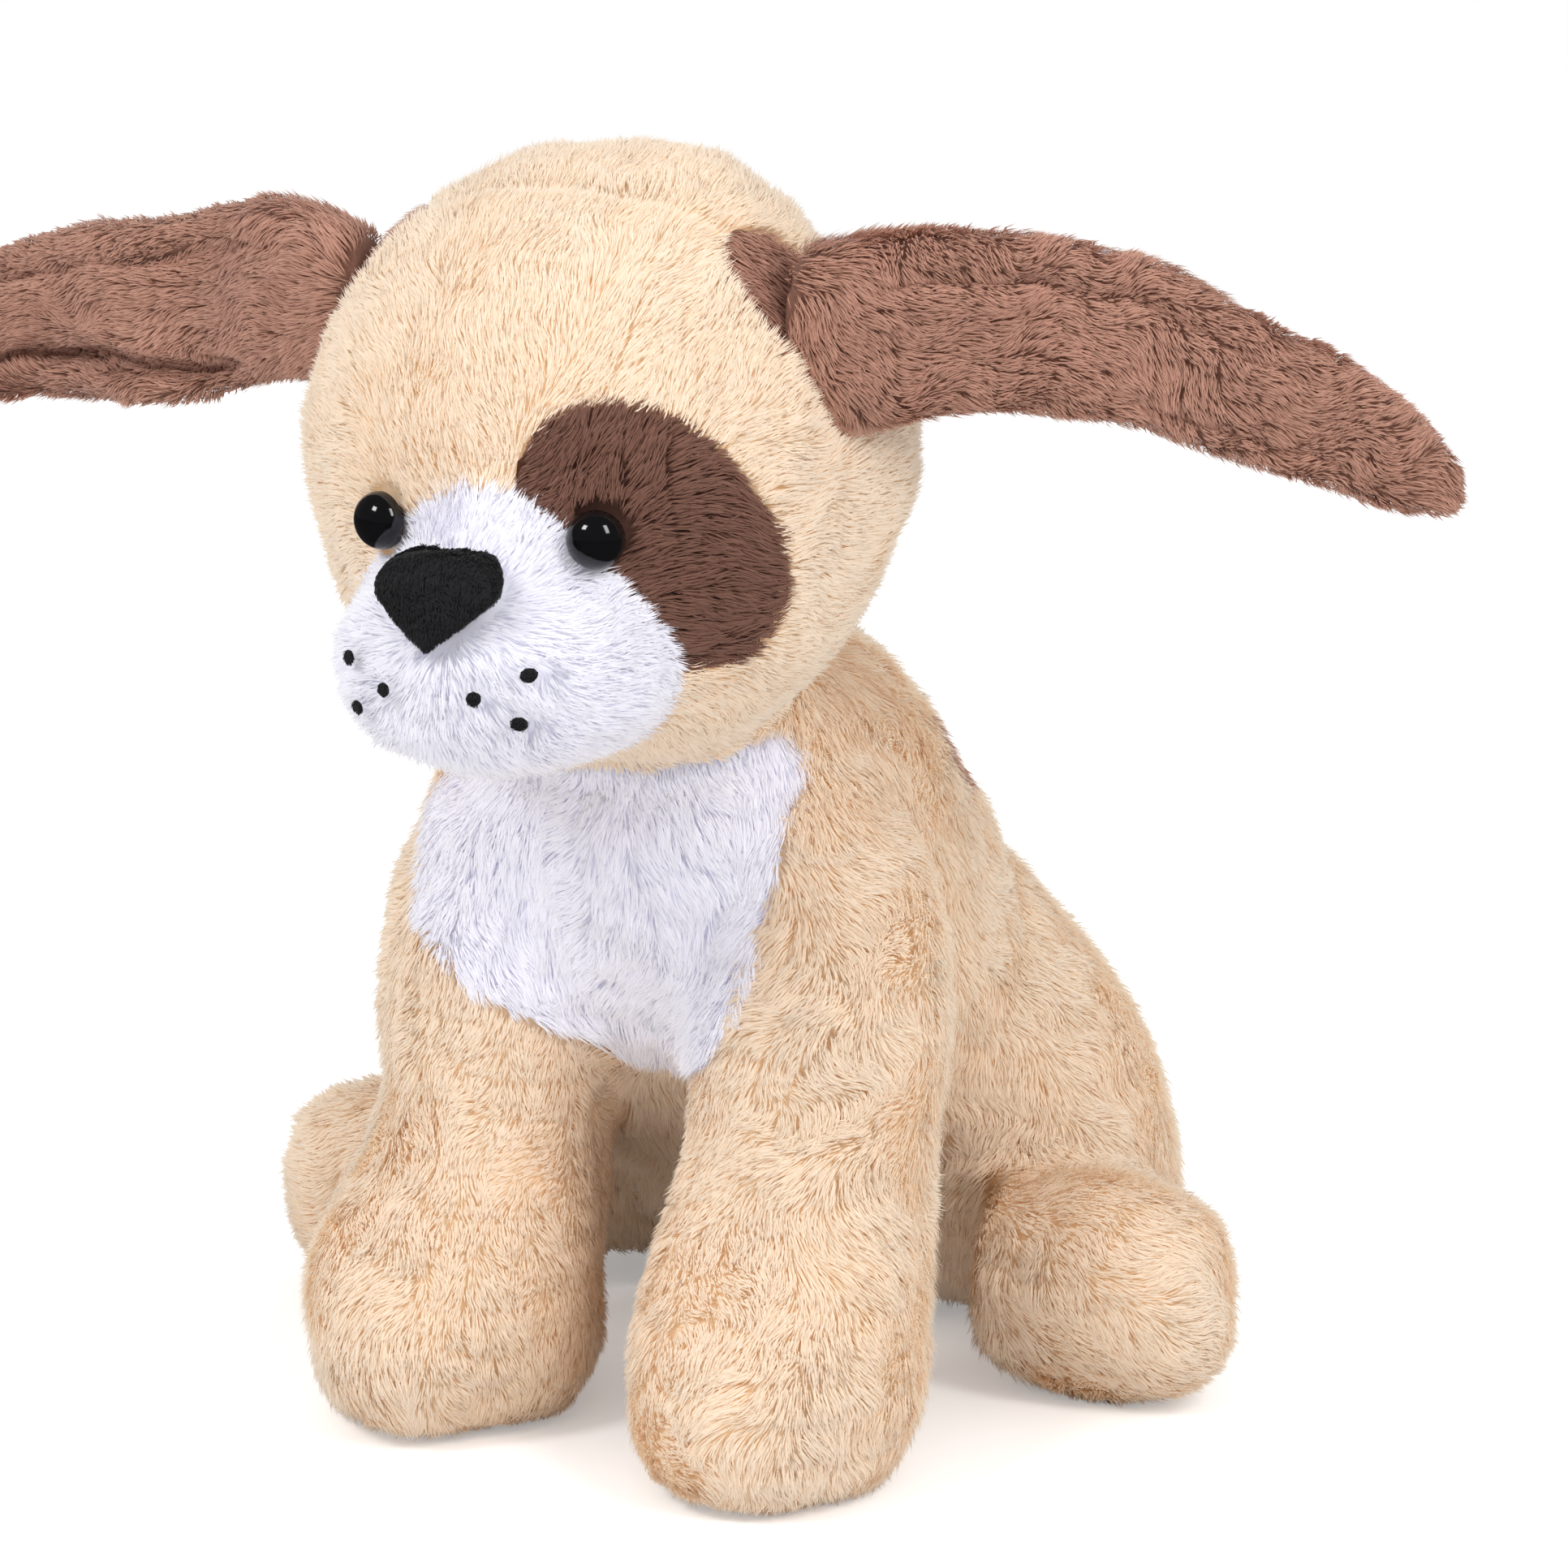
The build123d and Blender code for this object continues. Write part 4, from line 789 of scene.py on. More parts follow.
def ear_place(side, along, through, height):
    """Points from distances in mm along the ear, towards its back and up its width."""
    x = EAR_HINGE.x / MM + along * cos(EAR_DROOP) + height * sin(EAR_DROOP)
    y = EAR_HINGE.y / MM + through + tan(EAR_SWEEP) * np.maximum(0, along - EAR_START)
    z = EAR_HINGE.z / MM - along * sin(EAR_DROOP) + height * cos(EAR_DROOP)
    return np.stack([side * x, y, z], 1) * MM


def ear_coordinates(side, points):
    """Along the ear in mm, and from -1 at its lower edge to 1 at its upper edge."""
    x = side * points[:, 0] / MM - EAR_HINGE.x / MM
    z = (points[:, 2] - EAR_HINGE.z) / MM
    along = x * cos(EAR_DROOP) - z * sin(EAR_DROOP)
    rise, half_width, _ = ear_section(side, along)
    return along, (x * sin(EAR_DROOP) + z * cos(EAR_DROOP) - rise) / half_width


def over(stretch, along, amount):
    """An amount over one stretch of the ear, eased at both of its ends."""
    start, full, fading, end = stretch
    return amount * ramp(along, start, full) * ramp(-along, -end, -fading)


def rim_seams(side, along, level):
    """Grooves beside the rolled rims on the ear's front, above the front panel and below it."""
    upper = over(RIM_STRETCH, along, ridge(level, RIM_LEVEL, RIM_WIDTH))
    if side > 0:
        return upper, over(LOWER_STRETCH, along, ridge(level, LOWER_LEVEL, LOWER_WIDTH))
    crease = CREASE_LEVEL + CREASE_RISE * ramp(along, 50, 108)
    return upper, CREASE_DEPTH * ridge(level, crease, CREASE_WIDTH) * ramp(along, 38, 56)


def ear_skin(side, crumple):
    """Long flat ear with a rolled rim round its front panel."""
    rings, around = EAR_RINGS, EAR_AROUND
    low, high = EAR_LEVELS[side][0][0], EAR_LEVELS[side][-1][0]
    share = 1 - (1 - np.arange(rings + 1) / rings) ** 1.25
    along = np.repeat(low + (high - low) * share, around)
    angle = np.tile(2 * pi * np.arange(around) / around, rings + 1)
    rise, half_width, half_thick = ear_section(side, along)
    level = np.sign(np.cos(angle)) * np.abs(np.cos(angle)) ** 0.8
    through = np.sign(np.sin(angle)) * np.abs(np.sin(angle)) ** 0.75 * half_thick
    front = ramp(-through, 0.5, 2.5)
    upper, lower = rim_seams(side, along, level)
    hollow = over(PANEL_STRETCH, along, ridge(level, 0, 0.5))
    above, below, panel = EAR_GROOVES
    through = through + front * (above * upper + below * lower + panel * hollow)
    height = rise + level * half_width
    seed = 40 if side > 0 else 60
    flat = np.stack([along, 0 * along, height], 1) * MM
    through = through + crumple * 1.6 * waves(flat, 0.028, seed) * ramp(along, 30, 60)
    bulges = waves(flat * [1, 0, 0.3], 0.045, seed + 1)
    height = height + crumple * 1.3 * bulges * ramp(along, 30, 70)
    faces = [tuple(range(around))[::-1], tuple(range(rings * around, (rings + 1) * around))]
    for i in range(rings):
        for j in range(around):
            a, b = i * around + j, i * around + (j + 1) % around
            faces.append((a, b, b + around, a + around))
    mesh = bpy.data.meshes.new("ear_form")
    mesh.from_pydata(ear_place(side, along, through, height).tolist(), [], faces)
    ob = new_object("ear_form", mesh)
    only(ob)
    bpy.ops.object.mode_set(mode="EDIT")
    bpy.ops.mesh.select_all(action="SELECT")
    bpy.ops.mesh.normals_make_consistent(inside=False)
    bpy.ops.object.mode_set(mode="OBJECT")
    shaped(ob, "REMESH", mode="VOXEL", voxel_size=EAR_VOXEL, use_smooth_shade=True)
    shaped(ob, "SMOOTH", factor=0.5, iterations=2)
    return ob


def make_ear(side, pile_settings):
    """An ear in pile fabric."""
    name = SIDES[side]
    form = ear_skin(side, EAR_CRUMPLES[side])
    cloth = skin_of(form.data)
    density = np.full(len(cloth.points), 1.1 * DENSITY * pile_settings.density)
    density[np.abs(cloth.points[:, 0]) < EAR_ROOT] = 0
    root_seed, pile_seed = (seed + side for seed in SEEDS["ear"])
    roots = scattered(cloth, density, np.random.default_rng(root_seed))
    along, level = ear_coordinates(side, roots.points)
    front = roots.normals[:, 1] < 0.2
    upper, lower = rim_seams(side, along, level)
    # painted highlight: paler strands along the lip under the upper rim, where the rim catches the
    # light
    painted_highlight = over(RIM_STRETCH, along, ridge(level, HIGHLIGHT_LEVEL, HIGHLIGHT_WIDTH))
    # in the rims' grooves the pile is shorter and darker: painted shade
    seam = front * np.minimum(upper + lower, 1)
    lie = tangent(np.tile([side, 0.2, -0.35], (len(roots.points), 1)), roots.normals)
    style = STYLES["ear"]
    longer = 1 + 0.25 * ramp(-along, -40, -20)
    style = style._replace(length=style.length * pile_settings.length * (1 - 0.65 * seam) * longer)
    strands = pile(roots, lie, style, pile_seed, pale=0.6 * painted_highlight * front - 0.12 * seam)
    sheet = (cloth.points, cloth.triangles)
    piece = furred(f"ear_{name}_pile", sheet, strands, pile_material("brown"))
    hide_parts(f"ear_{name}", f"ear_root_{name}")
    bends = [Vector((side * x * MM, EAR_HINGE.y, EAR_HINGE.z)) for x in EAR_BENDS]
    finish_soft(piece, f"ear_{name}", bends)
    bpy.data.objects.remove(form)


# ---- nose and freckles: satin stitches with a short nap ----
STITCH = Style(1, 0.3, 1.2, 0.3, 0.8, 0.26)
STITCH_DENSITY = 16.0  # strands on a square millimetre
# voxel size, length of the nap in mm, and times that the form is smoothed
NOSE_STITCH = (0.7 * MM, 1.3, 16)
FRECKLE_STITCH = (0.35 * MM, 0.8, 3)


def round_nose(form):
    """Round the nose's outline at its top and taper it to a blunt tip."""
    skin = skin_of(form.data)
    out = np.abs(skin.points[:, 0])
    height = (skin.points[:, 2] - NOSE_CENTRE.z) / NOSE_HALF[1]
    levels = np.linspace(height.min(), height.max(), 25)
    plain = [out[np.abs(height - level) < 0.08].max() for level in levels]
    share = nose_half(height) / np.interp(height, levels, plain)
    skin.points[:, 0] *= np.maximum(share, NOSE_LEAST)
    form.data.vertices.foreach_set("co", skin.points.ravel())
    form.data.update()


def make_stitched(node, voxel, length, rounding):
    """One CAD form covered in thread."""
    form = merged_copy(f"{node}_form", [node])
    shaped(form, "REMESH", mode="VOXEL", voxel_size=voxel, use_smooth_shade=True)
    if node == "nose":
        round_nose(form)
        shaped(form, "REMESH", mode="VOXEL", voxel_size=voxel, use_smooth_shade=True)
    shaped(form, "SMOOTH", factor=0.5, iterations=rounding)
    cloth = skin_of(form.data)
    density = np.where(cloth.normals[:, 1] < 0.1, STITCH_DENSITY, 0.0)
    root_seed, pile_seed = SEEDS["stitching"]
    roots = scattered(cloth, density, np.random.default_rng(root_seed))
    lie = tangent(np.tile([0.0, -0.2, -1.0], (len(roots.points), 1)), roots.normals)
    strands = pile(roots, lie, STITCH._replace(length=length), pile_seed)
    sheet = (cloth.points, cloth.triangles)
    piece = furred(f"{node}_stitched", sheet, strands, pile_material("black"))
    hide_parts(node)
    finish_soft(piece, "puppy")
    bpy.data.objects.remove(form)


# ---- eyes ----
def make_eye(side):
    """A glossy dome with its shank, pressed into the pile."""
    name = SIDES[side]
    bpy.ops.object.select_all(action="DESELECT")
    bpy.ops.mesh.primitive_uv_sphere_add(segments=64, ring_count=32, radius=EYE_RADIUS)
    eye = bpy.context.active_object
    eye.name = f"eye_{name}_dome"
    bpy.ops.object.mode_set(mode="EDIT")
    bpy.ops.mesh.select_all(action="SELECT")
    rim = (0, 0, -EYE_CUT)
    bpy.ops.mesh.bisect(plane_co=rim, plane_no=(0, 0, 1), clear_inner=True, use_fill=True)
    bpy.ops.mesh.inset(thickness=SHANK_INSET)
    bpy.ops.mesh.extrude_region_move(TRANSFORM_OT_translate={"value": (0, 0, -SHANK_LENGTH)})
    bpy.ops.mesh.select_all(action="SELECT")
    bpy.ops.mesh.normals_make_consistent(inside=False)
    bpy.ops.object.mode_set(mode="OBJECT")
    spot, out = eye_place(side)
    squash = Matrix.Diagonal((1, 1, EYE_DOME / EYE_RADIUS, 1))
    facing = out.to_track_quat("Z", "Y").to_matrix().to_4x4()
    eye.data.transform(Matrix.Translation(spot) @ facing @ squash)
    only(eye)
    bpy.ops.object.shade_smooth_by_angle(angle=radians(40))
    eye.data.materials.clear()
    eye.data.materials.append(eye_material())
    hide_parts(f"eye_{name}")
    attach(eye, "puppy")


# ---- materials ----
FINE = 0.05 * MM  # height of the grain and the polish that are drawn as bump


def add(tree, kind, settings=(), **links):
    """Add a node, set its values and sockets, and link sockets by name."""
    node = tree.nodes.new(kind)
    for key, value in dict(settings).items():
        if key in node.inputs:
            node.inputs[key].default_value = value
        else:
            setattr(node, key, value)
    for key, source in links.items():
        tree.links.new(source, node.inputs[key.replace("_", " ")])
    return node


def mixed(tree, factor, a, b):
    """Mix two colours, each a socket or a colour, by a socket, and give the result's socket."""
    node = add(tree, "ShaderNodeMix", {"data_type": "RGBA"})
    tree.links.new(factor, node.inputs[0])
    for place, source in ((6, a), (7, b)):
        if isinstance(source, tuple):
            node.inputs[place].default_value = (*source, 1)
        else:
            tree.links.new(source, node.inputs[place])
    return node.outputs[2]


def material(name):
    """A material with its tree and its shader, or with None for both if it was made before."""
    made = bpy.data.materials.get(name)
    if made:
        return made, None, None
    made = bpy.data.materials.new(name)
    made.use_nodes = True
    tree = made.node_tree
    return made, tree, tree.nodes["Principled BSDF"]


def set_sockets(shader, **values):
    for key, value in values.items():
        shader.inputs[key.replace("_", " ")].default_value = value


# The colour halfway along a strand is a setting. Its root, its tip and its darker tufts are that
# colour with red, green and blue each multiplied. The darker, warmer roots are painted shade
# deep in the pile and in its creases, and the paler tips are painted light on its surface.
Pile = namedtuple("Pile", "name colour root tip dark")
PILES = {
    "cream": Pile(
        "polyester_pile_cream", "cream", (0.94, 0.84, 0.7), (1.03, 1.11, 1.22), (0.97, 0.93, 0.86)
    ),
    "brown": Pile(
        "polyester_pile_brown", "brown", (0.5, 0.45, 0.44), (1.55, 1.65, 1.75), (0.66, 0.62, 0.6)
    ),
    "patch": Pile(
        "polyester_pile_dark_brown", "patch", (0.45, 0.4, 0.4), (1.3, 1.35, 1.4), (0.6, 0.56, 0.55)
    ),
    "white": Pile(
        "polyester_pile_white", "white", (0.93, 0.93, 0.97), (1.08, 1.08, 1.05), (0.96, 0.96, 0.99)
    ),
    "black": Pile("rayon_thread_black", "black", (0.5, 0.5, 0.5), (1.6, 1.6, 1.6), (0.7, 0.7, 0.7)),
    "lining": Pile("tricot_lining_cream", "cream", (0.92, 0.92, 0.92), (1, 1, 1), (0.9, 0.9, 0.9)),
}


def times(colour, shares):
    """A colour multiplied by red, green and blue shares, with its alpha."""
    return (*(min(1, c * share) for c, share in zip(colour, shares)), 1)


def pile_material(kind):
    """Crimped polyester pile: painted shade at the roots, painted light at the pale dull tips, each
    tuft a little lighter or darker.
    """
    look = PILES[kind]
    colour = getattr(bpy.context.scene.puppy_colours, look.colour)
    made, tree, shader = material(look.name)
    if not tree:
        return made
    place = add(tree, "ShaderNodeUVMap", {"uv_map": "OFBake"})
    split = add(tree, "ShaderNodeSeparateXYZ", Vector=place.outputs["UV"])
    along = add(tree, "ShaderNodeValToRGB", Fac=split.outputs["Y"])
    ends = along.color_ramp.elements
    ends[0].position = 0.08
    ends[0].color = times(colour, look.root)
    ends[1].position = 0.95
    ends[1].color = times(colour, look.tip)
    ends.new(0.5).color = times(colour, (1, 1, 1))
    darkness = {"From Min": 0.1, "From Max": 0.55, "To Min": 0.5, "To Max": 0}
    amount = add(tree, "ShaderNodeMapRange", darkness, Value=split.outputs["X"])
    dark = times(colour, look.dark)[:3]
    shade = mixed(tree, amount.outputs["Result"], along.outputs["Color"], dark)
    tree.links.new(shade, shader.inputs["Base Color"])
    rough = add(tree, "ShaderNodeMapRange", {"To Min": 0.85, "To Max": 0.62}, Value=split.outputs["Y"])
    tree.links.new(rough.outputs["Result"], shader.inputs["Roughness"])
    # a strand seen from behind is lit through from the outside, as thin fibre is
    seen = add(tree, "ShaderNodeNewGeometry")
    through = add(tree, "ShaderNodeBsdfTranslucent", Color=shade)
    mix = add(tree, "ShaderNodeMixShader")
    tree.links.new(seen.outputs["Backfacing"], mix.inputs[0])
    tree.links.new(shader.outputs["BSDF"], mix.inputs[1])
    tree.links.new(through.outputs["BSDF"], mix.inputs[2])
    tree.links.new(mix.outputs["Shader"], tree.nodes["Material Output"].inputs["Surface"])
    set_sockets(shader, Specular_IOR_Level=0.25, Sheen_Weight=0.1, Sheen_Roughness=0.5)
    return made


def eye_material():
    """Moulded black acrylic: a deep, wet gloss with faint mould marks."""
    made, tree, shader = material("moulded_acrylic_black")
    if not tree:
        return made
    place = add(tree, "ShaderNodeTexCoord")
    # mould polish lines about 2 mm apart, drawn coarse enough to bend the highlights a little
    settings = {"Scale": 1 / (2 * MM), "Detail": 1.0}
    noise = add(tree, "ShaderNodeTexNoise", settings, Vector=place.outputs["Object"])
    depth = {"Strength": 0.03, "Distance": FINE}
    bump = add(tree, "ShaderNodeBump", depth, Height=noise.outputs["Fac"])
    gloss = {"To Min": 0.05, "To Max": 0.12}
    rough = add(tree, "ShaderNodeMapRange", gloss, Value=noise.outputs["Fac"])
    tree.links.new(rough.outputs["Result"], shader.inputs["Roughness"])
    tree.links.new(bump.outputs["Normal"], shader.inputs["Normal"])
    set_sockets(shader, Base_Color=(*linear("#0B0A0C"), 1), IOR=1.49)
    return made


Hard = namedtuple("Hard", "name colour metal rough grain bump")
HARD = {
    "box_plastic": Hard("moulded_abs_ivory", "#D9D6CF", 0, 0.45, 0.35, 0.15),
    "case_plastic": Hard("moulded_abs_grey", "#8F9296", 0, 0.5, 0.35, 0.15),
    "gear_plastic": Hard("moulded_acetal_white", "#ECEBE6", 0, 0.35, 0.5, 0.05),
    "knob_plastic": Hard("moulded_abs_black", "#1B1C1E", 0, 0.42, 0.3, 0.15),
    "steel": Hard("turned_steel_bright", "#B9BBBE", 1, 0.3, 0.25, 0.05),
    "cell_metal": Hard("wrapped_cell_green", "#3E6B4F", 0, 0.35, 0.6, 0.04),
    "board": Hard("solder_mask_green", "#1E5B3A", 0, 0.4, 0.8, 0.1),
    "speaker": Hard("pressed_paper_black", "#222224", 0, 0.75, 0.4, 0.3),
    "tape": Hard("woven_nylon_tape_white", "#E6E2DA", 0, 0.8, 0.5, 0.6),
}
HARD_NODES = {
    "box_plastic": [
        "battery_box",
        "battery_door",
        "sound_housing",
        "paw_switch",
        "eye_washer_left",
        "eye_washer_right",
    ],
    "case_plastic": ["gearbox_front", "gearbox_rear", "ear_paddle_left", "ear_paddle_right"],
    "gear_plastic": [
        "ear_gear_left",
        "ear_gear_right",
        "idler_left",
        "idler_right",
        "drive_gear",
        "first_gear",
        "paw_button",
    ],
    "knob_plastic": ["power_switch"],
    "steel": [
        "gear_pins",
        "gearbox_screws",
        "door_screw",
        "battery_contacts",
        "paw_spring",
        "ear_motor",
        "motor_pinion",
    ],
    "cell_metal": ["battery_cells"],
    "board": ["circuit_board"],
    "speaker": ["speaker"],
    "tape": ["flap_hook_tape", "flap_loop_tape"],
}


def hard_material(kind):
    """Plastic or metal of the inner works, with the fine grain of its mould or its turning."""
    look = HARD[kind]
    made, tree, shader = material(look.name)
    if not tree:
        return made
    place = add(tree, "ShaderNodeTexCoord")
    settings = {"Scale": 1 / (look.grain * MM), "Detail": 3.0}
    noise = add(tree, "ShaderNodeTexNoise", settings, Vector=place.outputs["Object"])
    patches = {"Scale": 1 / (12 * MM), "Detail": 2.0}
    cloudy = add(tree, "ShaderNodeTexNoise", patches, Vector=place.outputs["Object"])
    depth = {"Strength": look.bump, "Distance": FINE}
    bump = add(tree, "ShaderNodeBump", depth, Height=noise.outputs["Fac"])
    dull, clear = (times(linear(look.colour), [share] * 3)[:3] for share in (0.9, 1.08))
    tone = mixed(tree, cloudy.outputs["Fac"], dull, clear)
    gloss = {"To Min": look.rough - 0.06, "To Max": look.rough + 0.08}
    rough = add(tree, "ShaderNodeMapRange", gloss, Value=noise.outputs["Fac"])
    tree.links.new(tone, shader.inputs["Base Color"])
    tree.links.new(rough.outputs["Result"], shader.inputs["Roughness"])
    tree.links.new(bump.outputs["Normal"], shader.inputs["Normal"])
    set_sockets(shader, Metallic=look.metal)
    return made


def dress_hard_nodes():
    for kind, nodes in HARD_NODES.items():
        for name in nodes:
            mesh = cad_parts[name].data
            mesh.materials.clear()
            mesh.materials.append(hard_material(kind))


# ---- stage ----
VIEW_AZIMUTH = radians(24)
VIEW_ELEVATION = radians(14)
VIEW_TARGET = Vector((4, -36, 128)) * MM
VIEW_DISTANCE = 1300 * MM
PHOTO_WIDTH = 1932  # pixels
PHOTO_SCALE = 5.5  # pixels on a millimetre of the puppy
FRAME_WIDTH = PHOTO_WIDTH / PHOTO_SCALE * MM  # the width seen at the target's distance
SENSOR_WIDTH = 36
# azimuth and elevation in degrees, distance, width and height in metres
KEY_LAMP = (-25, 40, 1.3, 0.3, 0.3)
FILL_LAMP = (62, 38, 1.3, 0.28, 0.6)
MIRRORED_SKY = 0.1  # strength of the even light where a gloss mirrors it
FLOOR_SIZE = 6  # metres
FLOOR_GLOW = 0.3  # makes it as white to the camera as the light round it


def from_target(azimuth, elevation, distance):
    """A place seen from the target: azimuth 0 is in front of the puppy, 90 degrees at its left."""
    a, e = azimuth, elevation
    return VIEW_TARGET + distance * Vector((sin(a) * cos(e), -cos(a) * cos(e), sin(e)))


def add_camera():
    data = bpy.data.cameras.new("camera")
    data.sensor_width = SENSOR_WIDTH
    data.lens = SENSOR_WIDTH * VIEW_DISTANCE / FRAME_WIDTH
    camera = bpy.data.objects.new("camera", data)
    bpy.context.scene.collection.objects.link(camera)
    camera.location = from_target(VIEW_AZIMUTH, VIEW_ELEVATION, VIEW_DISTANCE)
    camera.rotation_euler = (VIEW_TARGET - camera.location).to_track_quat("-Z", "Y").to_euler()
    bpy.context.scene.camera = camera


def add_lamp(name, azimuth, elevation, distance, width, height, power):
    data = bpy.data.lights.new(name, "AREA")
    data.shape = "RECTANGLE"
    data.size = width
    data.size_y = height
    data.energy = power
    lamp = bpy.data.objects.new(name, data)
    bpy.context.scene.collection.objects.link(lamp)
    lamp.location = from_target(radians(azimuth), radians(elevation), distance)
    lamp.rotation_euler = (VIEW_TARGET - lamp.location).to_track_quat("-Z", "Y").to_euler()


def add_world(settings):
    """Even light all round that the camera sees as white and the eyes mirror as dim."""
    world = bpy.data.worlds.new("studio")
    bpy.context.scene.world = world
    world.use_nodes = True
    tree = world.node_tree
    plain = tree.nodes["Background"]
    plain.inputs["Color"].default_value = (*linear("#FFFFFF"), 1)
    plain.inputs["Strength"].default_value = settings.sky
    path = add(tree, "ShaderNodeLightPath")
    white = add(tree, "ShaderNodeBackground", {"Color": (1, 1, 1, 1), "Strength": 1.0})
    dim = add(tree, "ShaderNodeBackground", {"Color": (1, 1, 1, 1), "Strength": MIRRORED_SKY})
    lit = plain.outputs["Background"]
    for ray, seen in (("Is Glossy Ray", dim), ("Is Camera Ray", white)):
        mix = add(tree, "ShaderNodeMixShader")
        tree.links.new(path.outputs[ray], mix.inputs[0])
        tree.links.new(lit, mix.inputs[1])
        tree.links.new(seen.outputs["Background"], mix.inputs[2])
        lit = mix.outputs["Shader"]
    tree.links.new(lit, tree.nodes["World Output"].inputs["Surface"])


def add_floor():
    bpy.ops.object.select_all(action="DESELECT")
    bpy.ops.mesh.primitive_plane_add(size=FLOOR_SIZE)
    floor = bpy.context.active_object
    floor.name = "studio_floor"
    made, tree, shader = material("matt_white_paper")
    place = add(tree, "ShaderNodeTexCoord")
    settings = {"Scale": 1 / (4 * MM), "Detail": 2.0}
    noise = add(tree, "ShaderNodeTexNoise", settings, Vector=place.outputs["Object"])
    matt = {"To Min": 0.85, "To Max": 0.95}
    rough = add(tree, "ShaderNodeMapRange", matt, Value=noise.outputs["Fac"])
    tree.links.new(rough.outputs["Result"], shader.inputs["Roughness"])
    path = add(tree, "ShaderNodeLightPath")
    # dim where the eyes mirror it, as a floor far under them would be
    tone = mixed(tree, path.outputs["Is Glossy Ray"], linear("#F4F4F4"), linear("#404040"))
    tree.links.new(tone, shader.inputs["Base Color"])
    glow = add(tree, "ShaderNodeMath", {"operation": "MULTIPLY"})
    tree.links.new(path.outputs["Is Camera Ray"], glow.inputs[0])
    glow.inputs[1].default_value = FLOOR_GLOW
    tree.links.new(glow.outputs["Value"], shader.inputs["Emission Strength"])
    set_sockets(shader, Emission_Color=(1, 1, 1, 1), Specular_IOR_Level=0.1)
    floor.data.materials.append(made)


# ---- settings, operators and panel ----
class PuppyPile(bpy.types.PropertyGroup):
    length: FloatProperty(
        name="Pile length",
        description="Length of the pile against the real one",
        default=1.0,
        min=0.3,
        max=2.0,
    )
    density: FloatProperty(
        name="Pile density",
        description="Number of strands against the number drawn at 1",
        default=1.0,
        min=0.05,
        max=2.0,
    )


def colour_setting(name, where, code):
    return FloatVectorProperty(
        name=name,
        description=f"Colour halfway along a strand of {where}",
        default=linear(code),
        subtype="COLOR",
        size=3,
        min=0,
        max=1,
    )


class PuppyColours(bpy.types.PropertyGroup):
    cream: colour_setting("Cream pile", "the body's pile", "#EFD9C0")
    brown: colour_setting("Brown pile", "the ears' pile", "#A57B69")
    patch: colour_setting("Eye patch", "the eye patch's pile", "#775345")
    white: colour_setting("White pile", "the muzzle's pile", "#EDECF5")
    black: colour_setting("Black thread", "the nose's and the freckles' thread", "#1C1C1F")


class PuppyStage(bpy.types.PropertyGroup):
    sky: FloatProperty(
        name="Sky light",
        description="Strength of the even light all round",
        default=0.78,
        min=0,
    )
    key: FloatProperty(
        name="Key lamp",
        description="Power of the lamp at the upper left",
        default=5.0,
        unit="POWER",
    )
    fill: FloatProperty(
        name="Fill lamp",
        description="Power of the lamp at the right",
        default=5.5,
        unit="POWER",
    )


class PUPPY_OT_coat(bpy.types.Operator):
    """Sew the coat of pile fabric over the stuffed body"""

    bl_idname = "puppy.coat"
    bl_label = "Coat"

    def execute(self, context):
        make_coat(context.scene.puppy_pile)
        return {"FINISHED"}


class PUPPY_OT_flap(bpy.types.Operator):
    """Make the furred flap over the battery pocket"""

    bl_idname = "puppy.flap"
    bl_label = "Access flap"

    def execute(self, context):
        make_flap(context.scene.puppy_pile)
        return {"FINISHED"}


class PUPPY_OT_ears(bpy.types.Operator):
    """Make both ears"""

    bl_idname = "puppy.ears"
    bl_label = "Ears"

    def execute(self, context):
        for side in SIDES:
            make_ear(side, context.scene.puppy_pile)
        return {"FINISHED"}


class PUPPY_OT_stitching(bpy.types.Operator):
    """Stitch the nose and the freckles"""

    bl_idname = "puppy.stitching"
    bl_label = "Nose and freckles"

    def execute(self, context):
        make_stitched("nose", *NOSE_STITCH)
        for side in SIDES.values():
            make_stitched(f"freckles_{side}", *FRECKLE_STITCH)
        return {"FINISHED"}


class PUPPY_OT_eyes(bpy.types.Operator):
    """Make the two domed eyes"""

    bl_idname = "puppy.eyes"
    bl_label = "Eyes"

    def execute(self, context):
        for side in SIDES:
            make_eye(side)
        return {"FINISHED"}


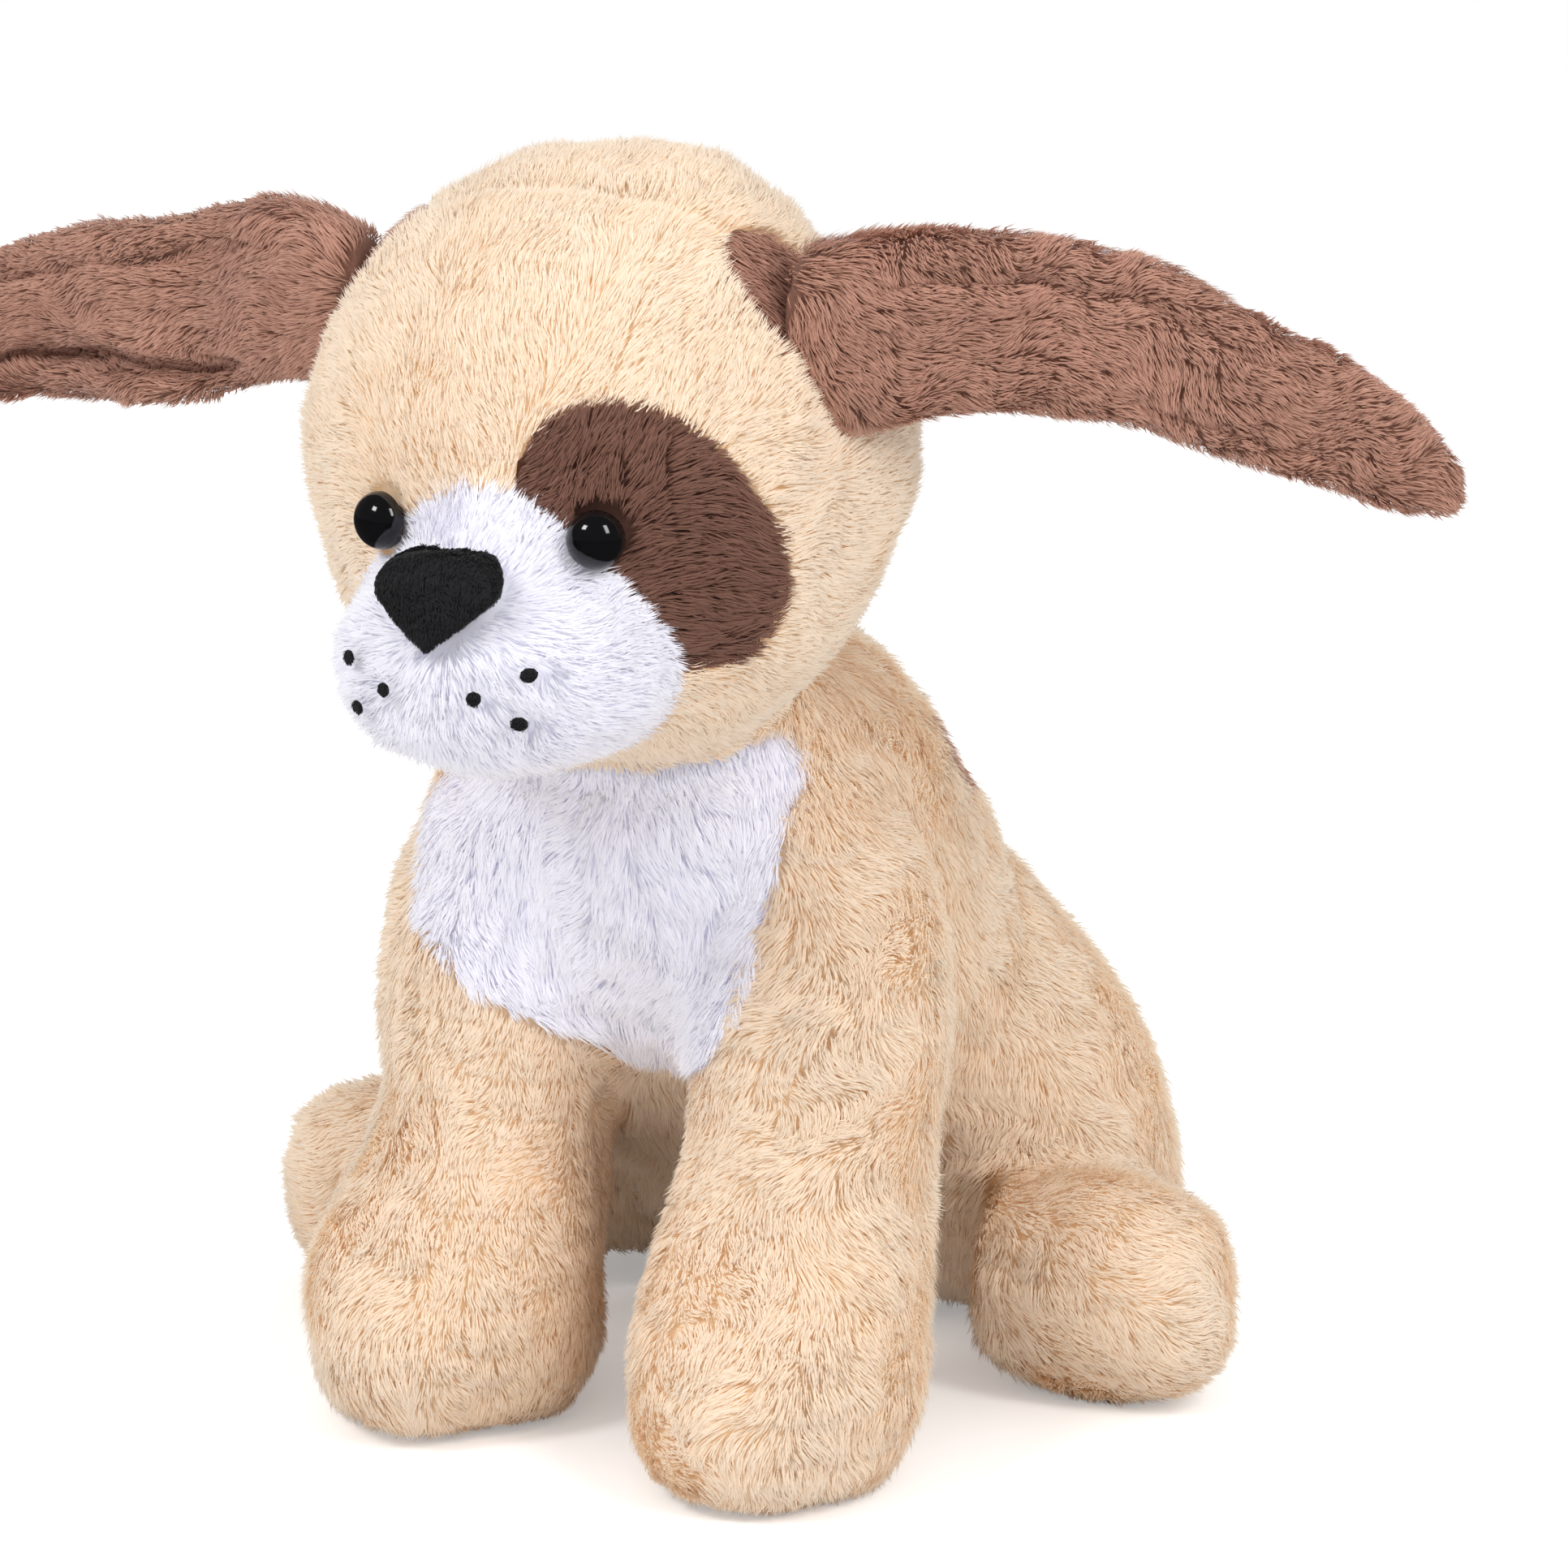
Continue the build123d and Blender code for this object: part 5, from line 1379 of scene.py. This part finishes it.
class PUPPY_OT_works(bpy.types.Operator):
    """Give the gearbox, the battery box and the switches their plastics and metals"""

    bl_idname = "puppy.works"
    bl_label = "Inner works"

    def execute(self, context):
        dress_hard_nodes()
        return {"FINISHED"}


class PUPPY_OT_stage(bpy.types.Operator):
    """Set the floor, the lamps and the camera"""

    bl_idname = "puppy.stage"
    bl_label = "Stage"

    def execute(self, context):
        settings = context.scene.puppy_stage
        add_camera()
        add_world(settings)
        add_lamp("key_lamp", *KEY_LAMP, settings.key)
        add_lamp("fill_lamp", *FILL_LAMP, settings.fill)
        add_floor()
        context.scene.view_settings.view_transform = "Standard"
        return {"FINISHED"}


class PUPPY_PT_panel(bpy.types.Panel):
    bl_idname = "PUPPY_PT_panel"
    bl_label = "Plush puppy"
    bl_space_type = "VIEW_3D"
    bl_region_type = "UI"
    bl_category = "Puppy"

    def draw(self, context):
        scene = context.scene
        for settings in (scene.puppy_pile, scene.puppy_colours, scene.puppy_stage):
            for name in settings.bl_rna.properties.keys():
                if name not in ("rna_type", "name"):
                    self.layout.prop(settings, name)
        for operator in OPERATORS:
            self.layout.operator(operator.bl_idname)


OPERATORS = (
    PUPPY_OT_coat,
    PUPPY_OT_flap,
    PUPPY_OT_ears,
    PUPPY_OT_stitching,
    PUPPY_OT_eyes,
    PUPPY_OT_works,
    PUPPY_OT_stage,
)
CLASSES = (PuppyPile, PuppyColours, PuppyStage, *OPERATORS, PUPPY_PT_panel)


def register():
    for cls in CLASSES:
        bpy.utils.register_class(cls)
    bpy.types.Scene.puppy_pile = PointerProperty(type=PuppyPile)
    bpy.types.Scene.puppy_colours = PointerProperty(type=PuppyColours)
    bpy.types.Scene.puppy_stage = PointerProperty(type=PuppyStage)


def unregister():
    del bpy.types.Scene.puppy_stage
    del bpy.types.Scene.puppy_colours
    del bpy.types.Scene.puppy_pile
    for cls in reversed(CLASSES):
        bpy.utils.unregister_class(cls)


def main():
    register()
    bpy.ops.puppy.coat()
    bpy.ops.puppy.flap()
    bpy.ops.puppy.ears()
    bpy.ops.puppy.stitching()
    bpy.ops.puppy.eyes()
    bpy.ops.puppy.works()
    bpy.ops.puppy.stage()


if __name__ == "__main__":
    main()
